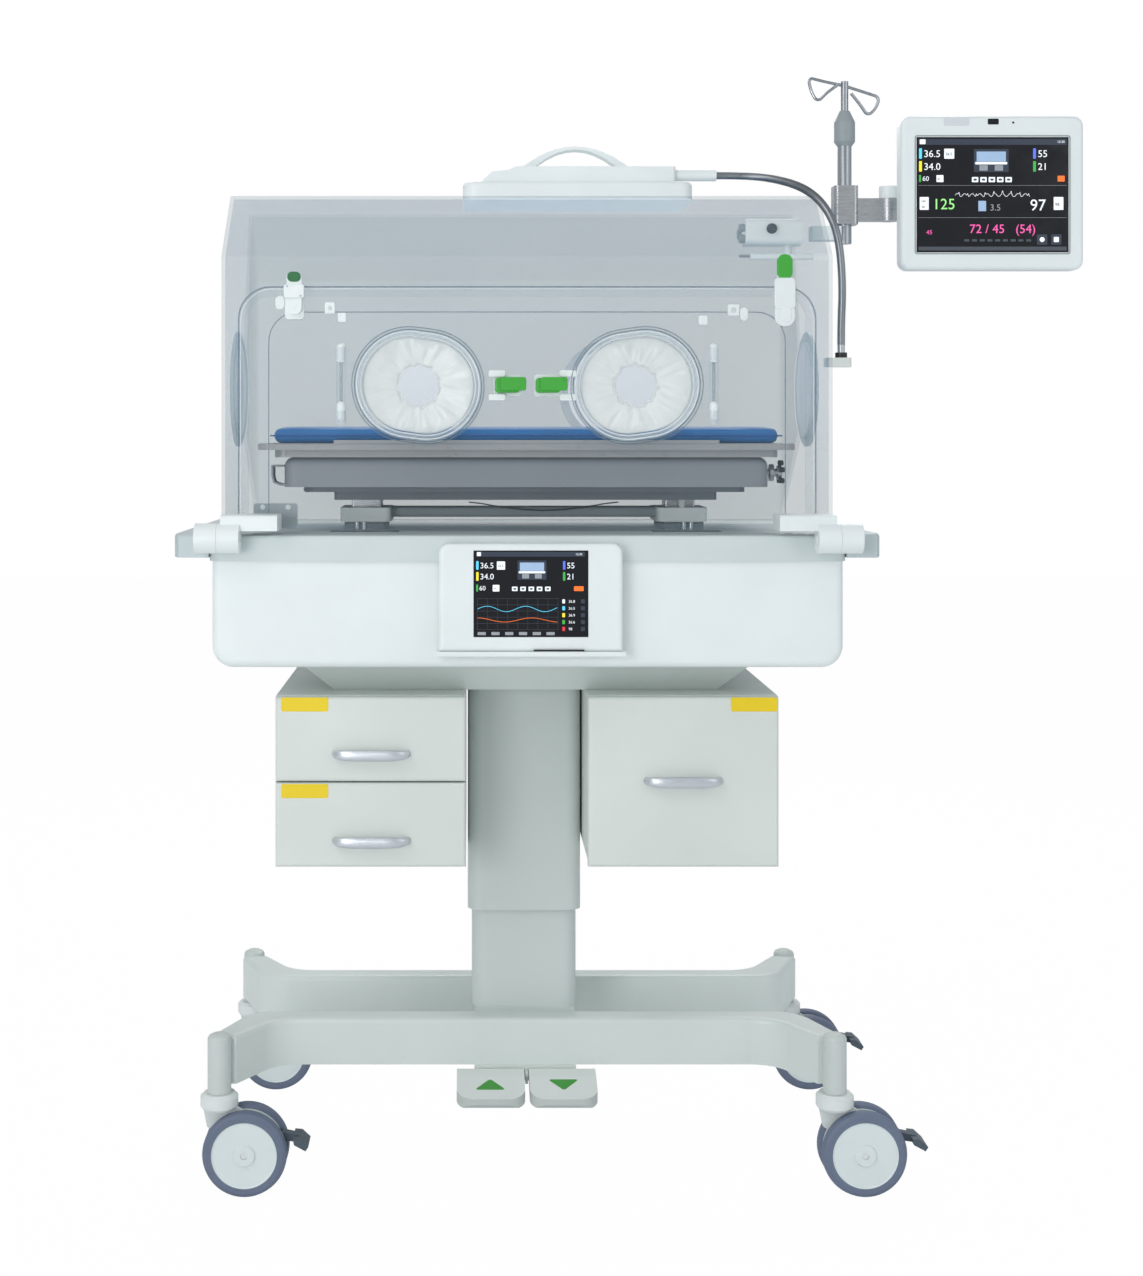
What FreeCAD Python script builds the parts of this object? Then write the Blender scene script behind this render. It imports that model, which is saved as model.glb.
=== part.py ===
"""An infant incubator on a wheeled height-adjusting stand, in millimetres.

+Z is up, the front faces -Y, and the origin is on the floor under the column.
"""

import FreeCAD, Part
import math
import os
import re
import Sketcher

Vector = FreeCAD.Vector
doc = FreeCAD.newDocument("incubator")
sheet = doc.addObject("Spreadsheet::Sheet", "Sizes")

SIZES = {
    # fits and clearances
    "gap": 0.3,
    "running": 0.05,
    # stand
    "stem_x": 458,
    "stem_y": 230,
    "post_radius": 17.5,
    "post_dome": 8,
    "post_bottom": 147.3,
    "beam_low": 156,
    "beam_top": 227,
    "beam_near": 93,
    "beam_far": 135,
    "beam_knee": 425,
    "beam_bevel": 45,
    "beam_bend": 60,
    "beam_splay": 18,
    "beam_edge": 8,
    "bridge_half_width": 78,
    "pedal_plate": 17,
    "pedal_front": 225,
    "pedal_back": 142,
    "pedal_top": 152,
    "pedal_drop": 16,
    "pedal_left": 105,
    "pedal_right": 107,
    "pedal_middle": 1.5,
    "pedal_half_gap": 3.5,
    "pedal_corner": 26,
    "pedal_pin": 4,
    # casters
    "wheel_radius": 62.5,
    "wheel_width": 22,
    "wheel_gap": 17,
    "wheel_disc": 48.5,
    "caster_trail": 40,
    "cap_radius": 28,
    "cap_low": 124,
    "cap_top": 147,
    "stem_radius": 6,
    "stem_rise": 32,
    "axle_radius": 5,
    "fork_plate": 8,
    "brake_pin": 3,
    "brake_reach": 94,
    # column
    "inner_half_width": 82,
    "inner_half_depth": 75,
    "inner_wall": 5,
    "inner_top": 588,
    "outer_half_width": 88.5,
    "outer_half_depth": 85,
    "outer_wall": 4.5,
    "outer_low": 381,
    "column_corner": 22,
    "head_low": 735,
    "head_half_width": 293,
    "head_half_depth": 150,
    "head_flare": 49,
    # cabinets and drawers
    "cabinet_inner": 91,
    "cabinet_outer": 375,
    "cabinet_low": 481,
    "cabinet_front": 212,
    "cabinet_back": 190,
    "cabinet_wall": 6,
    "cabinet_split": 607.5,
    "drawer_front": 230,
    "drawer_wall": 3,
    "drawer_side_gap": 1,
    "handle_half_width": 58.5,
    "handle_height": 20,
    "handle_reach": 22,
    "handle_bar": 5,
    "handle_middle": 232,
    "upper_handle": 650,
    "lower_handle": 521,
    "right_handle": 610,
    # body
    "shell_half_width": 465,
    "shell_half_depth": 265,
    "shell_low": 782,
    "shell_corner": 32,
    "shell_edge": 12,
    "deck_low": 939,
    "deck_top": 977,
    "deck_half_width": 470,
    "deck_half_depth": 270,
    "deck_corner": 24,
    "panel_left": 130,
    "panel_right": 137,
    "panel_low": 810,
    "panel_top": 967,
    "panel_front": 300,
    "panel_corner": 15,
    "panel_recess": 3,
    "screen_left": 80,
    "screen_right": 87,
    "screen_low": 831,
    "screen_top": 957,
    "rail_inner": 26,
    "rail_outer": 54,
    "rail_low": 944,
    "rail_top": 979,
    "rail_half_length": 262,
    # front door hinge
    "hinge_y": 293,
    "hinge_z": 974,
    "hinge_radius": 22,
    "hinge_pin": 6,
    "knuckle_out": 485,
    "knuckle_mid": 453,
    "knuckle_in": 420,
    "arm_in": 365,
    "arm_low": 985,
    "arm_top": 1008,
    # bed
    "lift_x": 250,
    "lift_block_half": 40,
    "lift_block_depth": 60,
    "lift_block_low": 988,
    "lift_block_top": 1010,
    "lift_post_half": 24,
    "lift_post_depth": 24,
    "lift_well": 27,
    "lift_pin": 4,
    "lift_pin_z": 1016,
    "lift_boss": 8,
    "roller": 6,
    "rest_roller": 5,
    "yoke_length": 30,
    "bed_hinge_out": 47,
    "bed_hinge_z": 1040,
    "bed_hinge_radius": 5,
    "bed_hinge_pin": 2.5,
    "bed_hinge_near": 40,
    "bed_hinge_mid": 70,
    "bed_hinge_far": 90,
    "cross_low": 994,
    "cross_top": 1010,
    "frame_half_width": 293,
    "frame_half_depth": 150,
    "frame_low": 1025.3,
    "frame_top": 1046,
    "xray_half_width": 366,
    "xray_half_depth": 195,
    "xray_top": 1091,
    "xray_corner": 18,
    "xray_slot": 20,
    "xray_wall": 32,
    "bed_half_width": 405,
    "bed_half_depth": 212,
    "bed_lip_half": 290,
    "bed_flange_low": 1102,
    "bed_flange_top": 1112,
    "bed_rail_half_width": 380,
    "mattress_half_width": 388,
    "mattress_half_depth": 198,
    "mattress_top": 1136,
    "mattress_corner": 14,
    # hood
    "hood_half_width": 455,
    "hood_half_depth": 230,
    "hood_wall": 5,
    "hood_shoulder": 1392,
    "hood_roof": 1494,
    "hood_roof_half_depth": 122,
    "door_half_width": 430,
    "door_low": 985,
    "door_top": 1346,
    "door_corner": 48,
    "door_wall": 4.5,
    "door_overlap": 15,
    "port_x": 162,
    "port_z": 1198,
    "port_half_width": 84,
    "port_half_height": 71,
    "port_rim": 11,
    "port_rim_depth": 8,
    "cover_half_width": 100,
    "cover_half_height": 87,
    "cover_wall": 4,
    "cover_front": 249,
    "cuff_hole": 30,
    "port_hinge_x": 276,
    "port_hinge_half": 57,
    "port_hinge_radius": 7,
    "port_hinge_pin": 2.5,
    "catch_x": 30,
    "catch_half_height": 11,
    "catch_half_width": 20,
    "catch_travel": 4,
    "latch_left_x": 345,
    "latch_right_x": 380,
    "latch_z": 1330,
    "latch_half_width": 14,
    "latch_pin": 4,
    "side_port_radius": 78,
    "side_cover_radius": 92,
    "side_cover_wall": 5,
    # sensor module
    "sensor_left": 342,
    "sensor_right": 430,
    "sensor_low": 1420,
    "sensor_top": 1460,
    "sensor_near": 118,
    "sensor_far": 70,
    # lamp
    "lamp_x": 84,
    "lamp_half_width": 180,
    "lamp_half_depth": 92,
    "lamp_tier": 1521,
    "lamp_top": 1546,
    "lamp_handle_top": 1588,
    "lamp_handle_half": 96,
    "lamp_opening_half": 76,
    "lamp_slope_low": 158,
    "lamp_slope_mid": 126,
    "lamp_strap": 5,
    "hose_radius": 6.5,
    # pole and monitor
    "pole_x": 510,
    "pole_y": -40,
    "pole_radius": 11,
    "pole_bore": 9,
    "pole_low": 1428,
    "pole_top": 1583,
    "bracket_height": 22,
    "collar_radius": 16.5,
    "collar_top": 1639,
    "hook_rod": 6,
    "hook_rod_depth": 189,
    "hook_rise": 47,
    "hook_drop": 7,
    "hook_wire": 2.5,
    "clamp_low": 1458,
    "clamp_top": 1519,
    "clamp_half": 19,
    "elbow_x": 580,
    "link_low": 1464,
    "link_top": 1499.5,
    "outer_link_low": 1499.8,
    "outer_link_top": 1519,
    "link_radius": 15,
    "elbow_pin": 5,
    "tilt_x": 726,
    "tilt_y": -60,
    "tilt_pin": 4,
    "monitor_left": 584,
    "monitor_right": 868,
    "monitor_low": 1381,
    "monitor_top": 1620,
    "monitor_front": 110,
    "monitor_back": 72,
    "monitor_corner": 15,
    "monitor_recess": 2,
    "monitor_bezel": 24,
}

for row, (alias, value) in enumerate(SIZES.items(), start=1):
    sheet.set(f"A{row}", alias)
    sheet.set(f"B{row}", str(value))
    sheet.setAlias(f"B{row}", alias)
doc.recompute()

FUNCTIONS = ("sin", "cos", "tan", "sqrt", "min", "max")
PARTS = {}


def size(alias):
    """A driving dimension as a number."""
    return float(getattr(sheet, alias))


def bound(text):
    """An expression with every plain word turned into a cell of the sheet."""
    text = str(text)
    return re.sub(
        r"[a-z][a-z_]*", lambda m: m[0] if m[0] in FUNCTIONS else "Sizes." + m[0], text
    )


def place(item, x="0", y="0", z="0"):
    for axis, text in (("x", x), ("y", y), ("z", z)):
        item.setExpression("Placement.Base." + axis, bound(text))
    return item


def named(name, item):
    """Marks an object as a sub-part of the incubator."""
    item.Label = name
    PARTS[name] = item
    return item


def box(low, high, name="Block"):
    """A Part box between two corners, each three expressions."""
    item = doc.addObject("Part::Box", name)
    for prop, a, b in zip(("Length", "Width", "Height"), low, high):
        item.setExpression(prop, bound(f"({b}) - ({a})"))
    return place(item, *low)


TURNS = {
    "x": FreeCAD.Rotation(Vector(0, 1, 0), 90),
    "y": FreeCAD.Rotation(Vector(1, 0, 0), -90),
    "z": FreeCAD.Rotation(),
}


def rod(start, length, radius, axis="z", name="Rod"):
    """A cylinder from a point along +X, +Y or +Z."""
    item = doc.addObject("Part::Cylinder", name)
    item.Placement.Rotation = TURNS[axis]
    item.setExpression("Radius", bound(radius))
    item.setExpression("Height", bound(length))
    return place(item, *start)


def cut(base, *tools):
    item = doc.addObject("Part::Cut", "Cut")
    item.Base = base
    item.Tool = tools[0] if len(tools) == 1 else fuse(*tools)
    return item


def fuse(*items):
    item = doc.addObject("Part::MultiFuse", "Fusion")
    item.Shapes = list(items)
    item.Refine = True
    return item


def group(*items):
    item = doc.addObject("Part::Compound", "Group")
    item.Links = list(items)
    return item


def mirrored(source, normal):
    item = doc.addObject("Part::Mirroring", "Mirror")
    item.Source = source
    item.Normal = normal
    return item


def plane(body, role):
    return next(f for f in body.Origin.OriginFeatures if f.Role == role)


def outline(body, role, points, offset=None):
    """A closed sketch of straight lines whose corners are bound to the sheet."""
    sketch = body.newObject("Sketcher::SketchObject", "Outline")
    sketch.AttachmentSupport = [(plane(body, role), "")]
    sketch.MapMode = "FlatFace"
    count = len(points)
    for n in range(count):
        guess = [Vector(n + k, (n + k) ** 2, 0) for k in (0, 1)]
        sketch.addGeometry(Part.LineSegment(*guess), False)
    for n in range(count):
        sketch.addConstraint(Sketcher.Constraint("Coincident", n, 2, (n + 1) % count, 1))
    for n, point in enumerate(points):
        for kind, text in zip(("DistanceX", "DistanceY"), point):
            index = sketch.addConstraint(Sketcher.Constraint(kind, -1, 1, n, 1, 1.0))
            sketch.setExpression(f"Constraints[{index}]", bound(text))
    if offset is not None:
        sketch.setExpression("AttachmentOffset.Base.z", bound(offset))
    return sketch


PLANES = {"x": "YZ_Plane", "y": "XZ_Plane", "z": "XY_Plane"}


def prism(points, low, high, axis="z", name="Body"):
    """An outline padded along an axis from low to high.

    Its points are (x, y) along z, (x, z) along y and (y, z) along x.
    """
    body = doc.addObject("PartDesign::Body", name)
    start = f"-({low})" if axis == "y" else low
    sketch = outline(body, PLANES[axis], points, start)
    pad = body.newObject("PartDesign::Pad", "Pad")
    pad.Profile = sketch
    pad.Reversed = axis == "y"
    pad.setExpression("Length", bound(f"({high}) - ({low})"))
    return body


def turned(points, name="Turned"):
    """An outline of radius and height turned about the vertical axis."""
    body = doc.addObject("PartDesign::Body", name)
    sketch = outline(body, "XZ_Plane", points)
    turn = body.newObject("PartDesign::Revolution", "Revolution")
    turn.Profile = sketch
    turn.ReferenceAxis = (sketch, ["V_Axis"])
    turn.Angle = 360
    return body


def rounded(body, radius, wanted):
    """Rounds the edges of a body's tip that wanted(edge) picks."""
    doc.recompute()
    base = body.Tip
    names = [f"Edge{n}" for n, e in enumerate(base.Shape.Edges, start=1) if wanted(e)]
    item = body.newObject("PartDesign::Fillet", "Fillet")
    item.Base = (base, names)
    item.setExpression("Radius", bound(radius))
    return body


def along(axis):
    """Picks the straight edges parallel to an axis."""
    index = "xyz".index(axis)
    return lambda e: e.Curve.TypeId == "Part::GeomLine" and abs(e.tangentAt(0)[index]) > 0.999


def both(*tests):
    return lambda e: all(test(e) for test in tests)


def side(axis, sign, middle=0.0):
    """Picks edges whose centre lies on one side of a middle value."""
    index = "xyz".index(axis)
    return lambda e: sign * (e.CenterOfMass[index] - middle) > 1e-4


def level(axis, value):
    """Picks the edges that lie wholly at one value of an axis."""
    low, high = axis.upper() + "Min", axis.upper() + "Max"
    return lambda e: (
        abs(getattr(e.BoundBox, low) - value) < 1e-4
        and abs(getattr(e.BoundBox, high) - value) < 1e-4
    )


def rectangle(x0, x1, y0, y1):
    return [(x0, y0), (x1, y0), (x1, y1), (x0, y1)]


def slab(x, y, z, axis="z", corner=None, name="Slab"):
    """A rectangular block whose four edges along an axis may be rounded."""
    spans = {"x": x, "y": y, "z": z}
    across = [k for k in "xyz" if k != axis]
    body = prism(rectangle(*spans[across[0]], *spans[across[1]]), *spans[axis], axis, name)
    return rounded(body, corner, along(axis)) if corner else body


def span(half):
    return (f"-({half})", half)


def shape_feature(name, shape):
    """A sub-part made directly from curves, for forms the other features can't make."""
    item = doc.addObject("Part::Feature", name)
    item.Shape = shape
    item.Placement = FreeCAD.Placement()
    return item


def bent_path(points):
    """Straight runs joined by the largest tangent arcs that their corners allow."""
    points = [Vector(*p) for p in points]
    edges, start, radii = [], points[0], []
    for before, corner, after in zip(points, points[1:], points[2:]):
        back, ahead = before - corner, after - corner
        reach = 0.45 * min(back.Length, ahead.Length)
        back.normalize()
        ahead.normalize()
        turn = math.pi - back.getAngle(ahead)
        radii.append(reach / math.tan(turn / 2))
        first, last = corner + back * reach, corner + ahead * reach
        bisector = (back + ahead).normalize()
        middle = corner + bisector * (
            reach / math.cos((math.pi - turn) / 2) - radii[-1]
        )
        edges.append(Part.LineSegment(start, first).toShape())
        edges.append(Part.Arc(first, middle, last).toShape())
        start = last
    edges.append(Part.LineSegment(start, points[-1]).toShape())
    return Part.Wire(edges), radii


def tube(points, radius):
    """A round bar along a bent path."""
    path, radii = bent_path(points)
    start = path.Edges[0]
    circle = Part.Circle(Vector(*points[0]), start.tangentAt(start.FirstParameter), radius)
    solid = path.makePipeShell([Part.Wire([circle.toShape()])], True, False)
    return solid, path.Length, radii


def beam(sign):
    """One cross beam: straight under the column, with ends bent round to the backs of the posts."""
    half = [
        ("beam_knee", "-beam_near"),
        ("stem_x + beam_splay", "-stem_y + 12"),
        ("stem_x - beam_splay - 6", "-stem_y + 8"),
        ("beam_knee - beam_bevel", "-beam_far"),
    ]
    other = [(f"-({x})", y) for x, y in reversed(half)]
    bar = prism(half + other, "beam_low", "beam_top", name="Beam")
    knees = (size("beam_knee"), size("beam_knee") - size("beam_bevel"))

    def at_knee(edge):
        return min(abs(abs(edge.CenterOfMass.x) - knee) for knee in knees) < 1e-3

    rounded(bar, "beam_bend", both(along("z"), at_knee))
    rounded(bar, "beam_edge", level("z", size("beam_top")))
    bores = [
        rod((x, "-stem_y", "beam_low - 1"), "beam_top - beam_low + 2", "post_radius + running")
        for x in ("stem_x", "-stem_x")
    ]
    whole = cut(bar, *bores)
    return whole if sign > 0 else mirrored(whole, Vector(0, 1, 0))


def stand():
    named("cross_beams", group(beam(1), beam(-1)))
    bore, top = "stem_radius + running", "cap_top + stem_rise + 1"
    profile = [
        (bore, "post_bottom"),
        ("post_radius", "post_bottom"),
        ("post_radius", "beam_top"),
        ("post_radius - 2", "beam_top + post_dome * 0.5"),
        ("post_radius - 8", "beam_top + post_dome * 0.9"),
        ("0", "beam_top + post_dome"),
        ("0", top),
        (bore, top),
    ]
    posts = [
        place(turned(profile, "Post"), x, y)
        for x in ("-stem_x", "stem_x")
        for y in ("-stem_y", "stem_y")
    ]
    named("caster_posts", group(*posts))
    web = [
        ("-beam_far - 3", "pedal_top - 20"),
        ("-beam_far - 3", "beam_low"),
        ("-beam_near", "beam_low"),
        ("-beam_near", "beam_top"),
        ("beam_near", "beam_top"),
        ("beam_near", "beam_low + 14"),
        ("-beam_near + 30", "pedal_top - 20"),
    ]
    bridge = prism(web, "-bridge_half_width", "bridge_half_width", "x", "Bridge")
    pivot = slab(
        ("pedal_middle - 2", "pedal_middle + 2"),
        ("-pedal_back - 16", "-beam_far"),
        ("pedal_top - 18", "pedal_top - 2"),
        name="PedalBracket",
    )
    pin = rod(
        ("-pedal_left + 6", "-pedal_back - 8", "pedal_top - 9"),
        "pedal_left + pedal_right - 12",
        "pedal_pin",
        "x",
    )
    named("base_bridge", fuse(bridge, pivot, pin))
    column = slab(
        span("inner_half_width"),
        span("inner_half_depth"),
        ("beam_top", "inner_top"),
        corner="column_corner",
    )
    core = slab(
        span("inner_half_width - inner_wall"),
        span("inner_half_depth - inner_wall"),
        ("beam_top - 1", "inner_top + 1"),
        corner="column_corner - inner_wall",
    )
    glide = slab(
        span("outer_half_width - outer_wall - gap"),
        span("outer_half_depth - outer_wall - gap"),
        ("inner_top - 60", "inner_top - 4"),
        corner="column_corner - outer_wall - gap",
    )
    named("inner_column", cut(fuse(column, glide), core))


def pedal(name, x0, x1):
    """A foot pedal that tips on the pin at its back edge."""
    profile = [
        ("-pedal_back", "pedal_top"),
        ("-pedal_back", "pedal_top - pedal_plate"),
        ("-pedal_front + 6", "pedal_top - pedal_drop - pedal_plate"),
        ("-pedal_front", "pedal_top - pedal_drop - pedal_plate + 6"),
        ("-pedal_front", "pedal_top - pedal_drop - 2"),
        ("-pedal_front + 8", "pedal_top - pedal_drop"),
        ("-pedal_back - 26", "pedal_top - 3"),
    ]
    body = prism(profile, x0, x1, "x", "Pedal")
    height = ("pedal_top - 60", "pedal_top + 20")
    blank = slab((x0, x1), ("-pedal_front", "-pedal_back"), height, name="Blank")
    rounded(blank, "pedal_corner", both(along("z"), side("y", -1, 25 - size("pedal_front"))))
    common = doc.addObject("Part::MultiCommon", "Common")
    common.Shapes = [body, blank]
    bore = rod((x0, "-pedal_back - 8", "pedal_top - 9"), "120", "pedal_pin + running", "x")
    bore.setExpression("Placement.Base.x", bound(f"({x0}) - 5"))
    named(name, cut(common, bore))


def caster(corner, x, y):
    """A swivel caster with twin wheels that trail towards +X, and its brake lever."""
    axle = f"({x}) + caster_trail"
    cap = [
        ("0", "cap_low"),
        ("cap_radius - 3", "cap_low"),
        ("cap_radius", "cap_low + 4"),
        ("cap_radius", "cap_top - 5"),
        ("cap_radius - 5", "cap_top"),
        ("stem_radius", "cap_top"),
        ("stem_radius", "cap_top + stem_rise"),
        ("0", "cap_top + stem_rise"),
    ]
    head = place(turned(cap, "Cap"), x, y)
    neck = [
        (f"({x}) - cap_radius + 4", "cap_low + 2"),
        (f"({x}) - 18", "wheel_radius + 34"),
        (axle, "wheel_radius"),
        (f"({axle}) + 40", "wheel_radius + 16"),
        (f"({axle}) + 50", "wheel_radius + 24"),
        (f"({axle}) + 40", "wheel_radius + 31"),
        (f"({x}) + cap_radius - 4", "cap_low + 2"),
    ]
    half = "fork_plate / 2"
    web = prism(neck, f"({y}) - {half}", f"({y}) + {half}", "y", "ForkPlate")
    disc = rod((axle, f"({y}) - {half}", "wheel_radius"), "fork_plate", "wheel_disc - 9", "y")
    reach = "wheel_gap / 2 + wheel_width"
    shaft = rod((axle, f"({y}) - ({reach})", "wheel_radius"), f"2 * ({reach})", "axle_radius", "y")
    pivot = (f"({axle}) + 44", f"({y}) - wheel_gap / 2 + 1", "wheel_radius + 23.5")
    pin = rod(pivot, "wheel_gap - 2", "brake_pin", "y")
    named("caster_fork_" + corner, fuse(head, web, disc, shaft, pin))

    bore = "axle_radius + running"
    section = [
        (bore, "0"),
        ("wheel_radius - 6", "0"),
        ("wheel_radius - 1.5", "2"),
        ("wheel_radius", "7"),
        ("wheel_radius", "wheel_width - 7"),
        ("wheel_radius - 1.5", "wheel_width - 2"),
        ("wheel_radius - 6", "wheel_width"),
        ("wheel_disc", "wheel_width"),
        ("wheel_disc - 2", "wheel_width - 2"),
        ("17", "wheel_width - 3"),
        ("15", "wheel_width + 1"),
        (bore, "wheel_width + 1"),
    ]
    wheels = []
    for sign, turn in ((1, -90), (-1, 90)):
        wheel = turned(section, "Wheel")
        wheel.Placement.Rotation = FreeCAD.Rotation(Vector(1, 0, 0), turn)
        place(wheel, axle, f"({y}) + {sign} * wheel_gap / 2", "wheel_radius")
        wheels.append(wheel)
    named("caster_wheels_" + corner, group(*wheels))

    lever = [
        (f"({axle}) + 37", "wheel_radius + 18"),
        (f"({axle}) + 37", "wheel_radius + 30"),
        (f"({axle}) + 60", "wheel_radius + 26"),
        (f"({axle}) + 80", "wheel_radius + 22"),
        (f"({axle}) + brake_reach", "wheel_radius + 10"),
        (f"({axle}) + brake_reach - 4", "wheel_radius + 4"),
        (f"({axle}) + 78", "wheel_radius + 12"),
        (f"({axle}) + 56", "wheel_radius + 15"),
    ]
    inner = "wheel_gap / 2 - 1"
    arm = prism(lever, f"({y}) - ({inner})", f"({y}) + {inner}", "y", "BrakeArm")
    paddle = [
        (f"({axle}) + 71", "wheel_radius + 22"),
        (f"({axle}) + 82", "wheel_radius + 21"),
        (f"({axle}) + brake_reach", "wheel_radius + 10"),
        (f"({axle}) + brake_reach - 4", "wheel_radius + 4"),
        (f"({axle}) + 73", "wheel_radius + 13"),
    ]
    width = "wheel_gap / 2 + 14"
    tip = prism(paddle, f"({y}) - ({width})", f"({y}) + {width}", "y", "Paddle")
    slot = box(
        (f"({axle}) + 20", f"({y}) - {half} - gap", "0"),
        (f"({axle}) + 54", f"({y}) + {half} + gap", "200"),
    )
    hole = rod(
        (f"({axle}) + 44", f"({y}) - 20", "wheel_radius + 23.5"), "40", "brake_pin + running", "y"
    )
    named("caster_brake_" + corner, cut(fuse(arm, tip), slot, hole))


def lift_column():
    outer = slab(
        span("outer_half_width"),
        span("outer_half_depth"),
        ("outer_low", "head_low"),
        corner="column_corner",
    )
    bore = slab(
        span("outer_half_width - outer_wall"),
        span("outer_half_depth - outer_wall"),
        ("outer_low - 1", "head_low + 1"),
        corner="column_corner - outer_wall",
    )
    named("outer_column", cut(outer, bore))
    head = doc.addObject("PartDesign::Body", "ColumnHead")
    low = outline(
        head, "XY_Plane", rectangle(*span("head_half_width"), *span("head_half_depth")), "head_low"
    )
    wide, deep = "head_half_width + head_flare", "head_half_depth + head_flare"
    high = outline(head, "XY_Plane", rectangle(*span(wide), *span(deep)), "shell_low")
    loft = head.newObject("PartDesign::AdditiveLoft", "Loft")
    loft.Profile = low
    loft.Sections = [high]
    named("column_head", head)


def cabinet(x0, x1, shelf=None):
    """A hanging cabinet open to the front, with an optional shelf between two drawers."""
    wall = "cabinet_wall"
    case = slab((x0, x1), ("-cabinet_front", "cabinet_back"), ("cabinet_low", "head_low"))
    rounded(case, "10", both(along("y"), side("z", -1, size("cabinet_low") + 5)))
    levels = [("cabinet_low + cabinet_wall", "head_low - cabinet_wall")]
    if shelf:
        levels = [
            ("cabinet_low + cabinet_wall", f"({shelf}) - {wall} / 2"),
            (f"({shelf}) + {wall} / 2", "head_low - cabinet_wall"),
        ]
    hollows = [
        box(
            (f"({x0}) + {wall}", "-cabinet_front - 1", a),
            (f"({x1}) - {wall}", f"cabinet_back - {wall}", b),
        )
        for a, b in levels
    ]
    return cut(case, *hollows), levels


def drawer(name, x0, x1, opening, face):
    """A drawer: a tray that runs in the cabinet behind a rounded front."""
    low, high = opening
    front = slab((x0, x1), ("-drawer_front", "-cabinet_front - gap"), face)
    rounded(front, "5", level("y", -size("drawer_front")))
    inset = "cabinet_wall + drawer_side_gap"
    tray = box(
        (f"({x0}) + {inset}", "-cabinet_front - 1", f"({low}) + gap"),
        (f"({x1}) - ({inset})", "cabinet_back - cabinet_wall - 6", f"({high}) - 12"),
    )
    room = box(
        (f"({x0}) + {inset} + drawer_wall", "-cabinet_front + drawer_wall", f"({low}) + gap + drawer_wall"),
        (
            f"({x1}) - ({inset} + drawer_wall)",
            "cabinet_back - cabinet_wall - 6 - drawer_wall",
            f"({high}) + 5",
        ),
    )
    named(name, cut(fuse(front, tray), room))


def drawer_handle(name, x, z):
    """A bent bar handle."""
    half, reach = "handle_half_width", "-drawer_front - handle_reach"
    bow = [
        (f"({x}) - {half}", "-drawer_front"),
        (f"({x}) - {half} + 7", reach),
        (f"({x}) + {half} - 7", reach),
        (f"({x}) + {half}", "-drawer_front"),
        (f"({x}) + {half} - handle_bar - 2", "-drawer_front"),
        (f"({x}) + {half} - 8 - handle_bar", f"{reach} + handle_bar"),
        (f"({x}) - {half} + 8 + handle_bar", f"{reach} + handle_bar"),
        (f"({x}) - {half} + handle_bar + 2", "-drawer_front"),
    ]
    low, high = f"({z}) - handle_height / 2", f"({z}) + handle_height / 2"
    body = prism(bow, low, high, name="Handle")
    outer = level("y", -size("drawer_front") - size("handle_reach"))
    named(name, rounded(body, "4", both(along("z"), outer)))


def cabinets():
    left, right = ("-cabinet_outer", "-cabinet_inner"), ("cabinet_inner", "cabinet_outer")
    two, (low, high) = cabinet(*left, "cabinet_split")
    one, (whole,) = cabinet(*right)
    named("drawer_cabinets", group(two, one))
    bottom, top, split = "cabinet_low", "head_low - 1", "cabinet_split"
    drawer("drawer_upper", *left, high, (f"{split} + 1", top))
    drawer("drawer_lower", *left, low, (bottom, f"{split} - 1"))
    drawer("drawer_right", *right, whole, (bottom, top))
    drawer_handle("drawer_handle_upper", "-handle_middle", "upper_handle")
    drawer_handle("drawer_handle_lower", "-handle_middle", "lower_handle")
    drawer_handle("drawer_handle_right", "handle_middle", "right_handle")


def lift_wells():
    """The holes in the deck that the bed's lifting posts go down into."""
    half, deep = "lift_post_half + running", "lift_post_depth + running"
    wells = []
    for x in ("-lift_x", "lift_x"):
        wells.append(
            box(
                (f"({x}) - ({half})", f"-({deep})", "deck_top - lift_well"),
                (f"({x}) + {half}", deep, "lift_block_top + 1"),
            )
        )
    return wells


def main_body():
    shell = slab(span("shell_half_width"), span("shell_half_depth"), ("shell_low", "deck_low"))
    low_side = both(along("y"), side("z", -1, size("shell_low") + 5))
    rounded(shell, "shell_corner", low_side)
    rounded(shell, "shell_edge", along("z"))
    named("body_shell", shell)

    deck = slab(
        span("deck_half_width"),
        span("deck_half_depth"),
        ("deck_low", "deck_top"),
        corner="deck_corner",
    )
    rounded(deck, "5", level("z", size("deck_top")))
    named("deck", cut(deck, *lift_wells()))

    panel = slab(
        ("-panel_left", "panel_right"),
        ("-panel_front", "-deck_half_depth"),
        ("panel_low", "panel_top"),
        "y",
    )
    rounded(panel, "panel_corner", both(along("y"), side("z", 1, size("panel_top") - 5)))
    rounded(panel, "6", level("y", -size("panel_front")))
    mount = box(
        ("-panel_left + 20", "-deck_half_depth - 1", "panel_low + 15"),
        ("panel_right - 20", "-shell_half_depth", "deck_low - 15"),
    )
    ledge = slab(
        ("-panel_left - 4", "panel_right + 4"),
        ("-panel_front - 3", "-deck_half_depth"),
        ("panel_low - 8", "panel_low"),
    )
    rounded(ledge, "3", level("z", size("panel_low") - 8))
    recess = box(
        ("-screen_left", "-panel_front - 1", "screen_low"),
        ("screen_right", "-panel_front + panel_recess", "screen_top"),
    )
    glass = slab(
        ("-screen_left + gap", "screen_right - gap"),
        ("-panel_front + 0.8", "-panel_front + panel_recess"),
        ("screen_low + gap", "screen_top - gap"),
    )
    named("panel_housing", group(cut(fuse(panel, mount, ledge), recess), glass))


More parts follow.
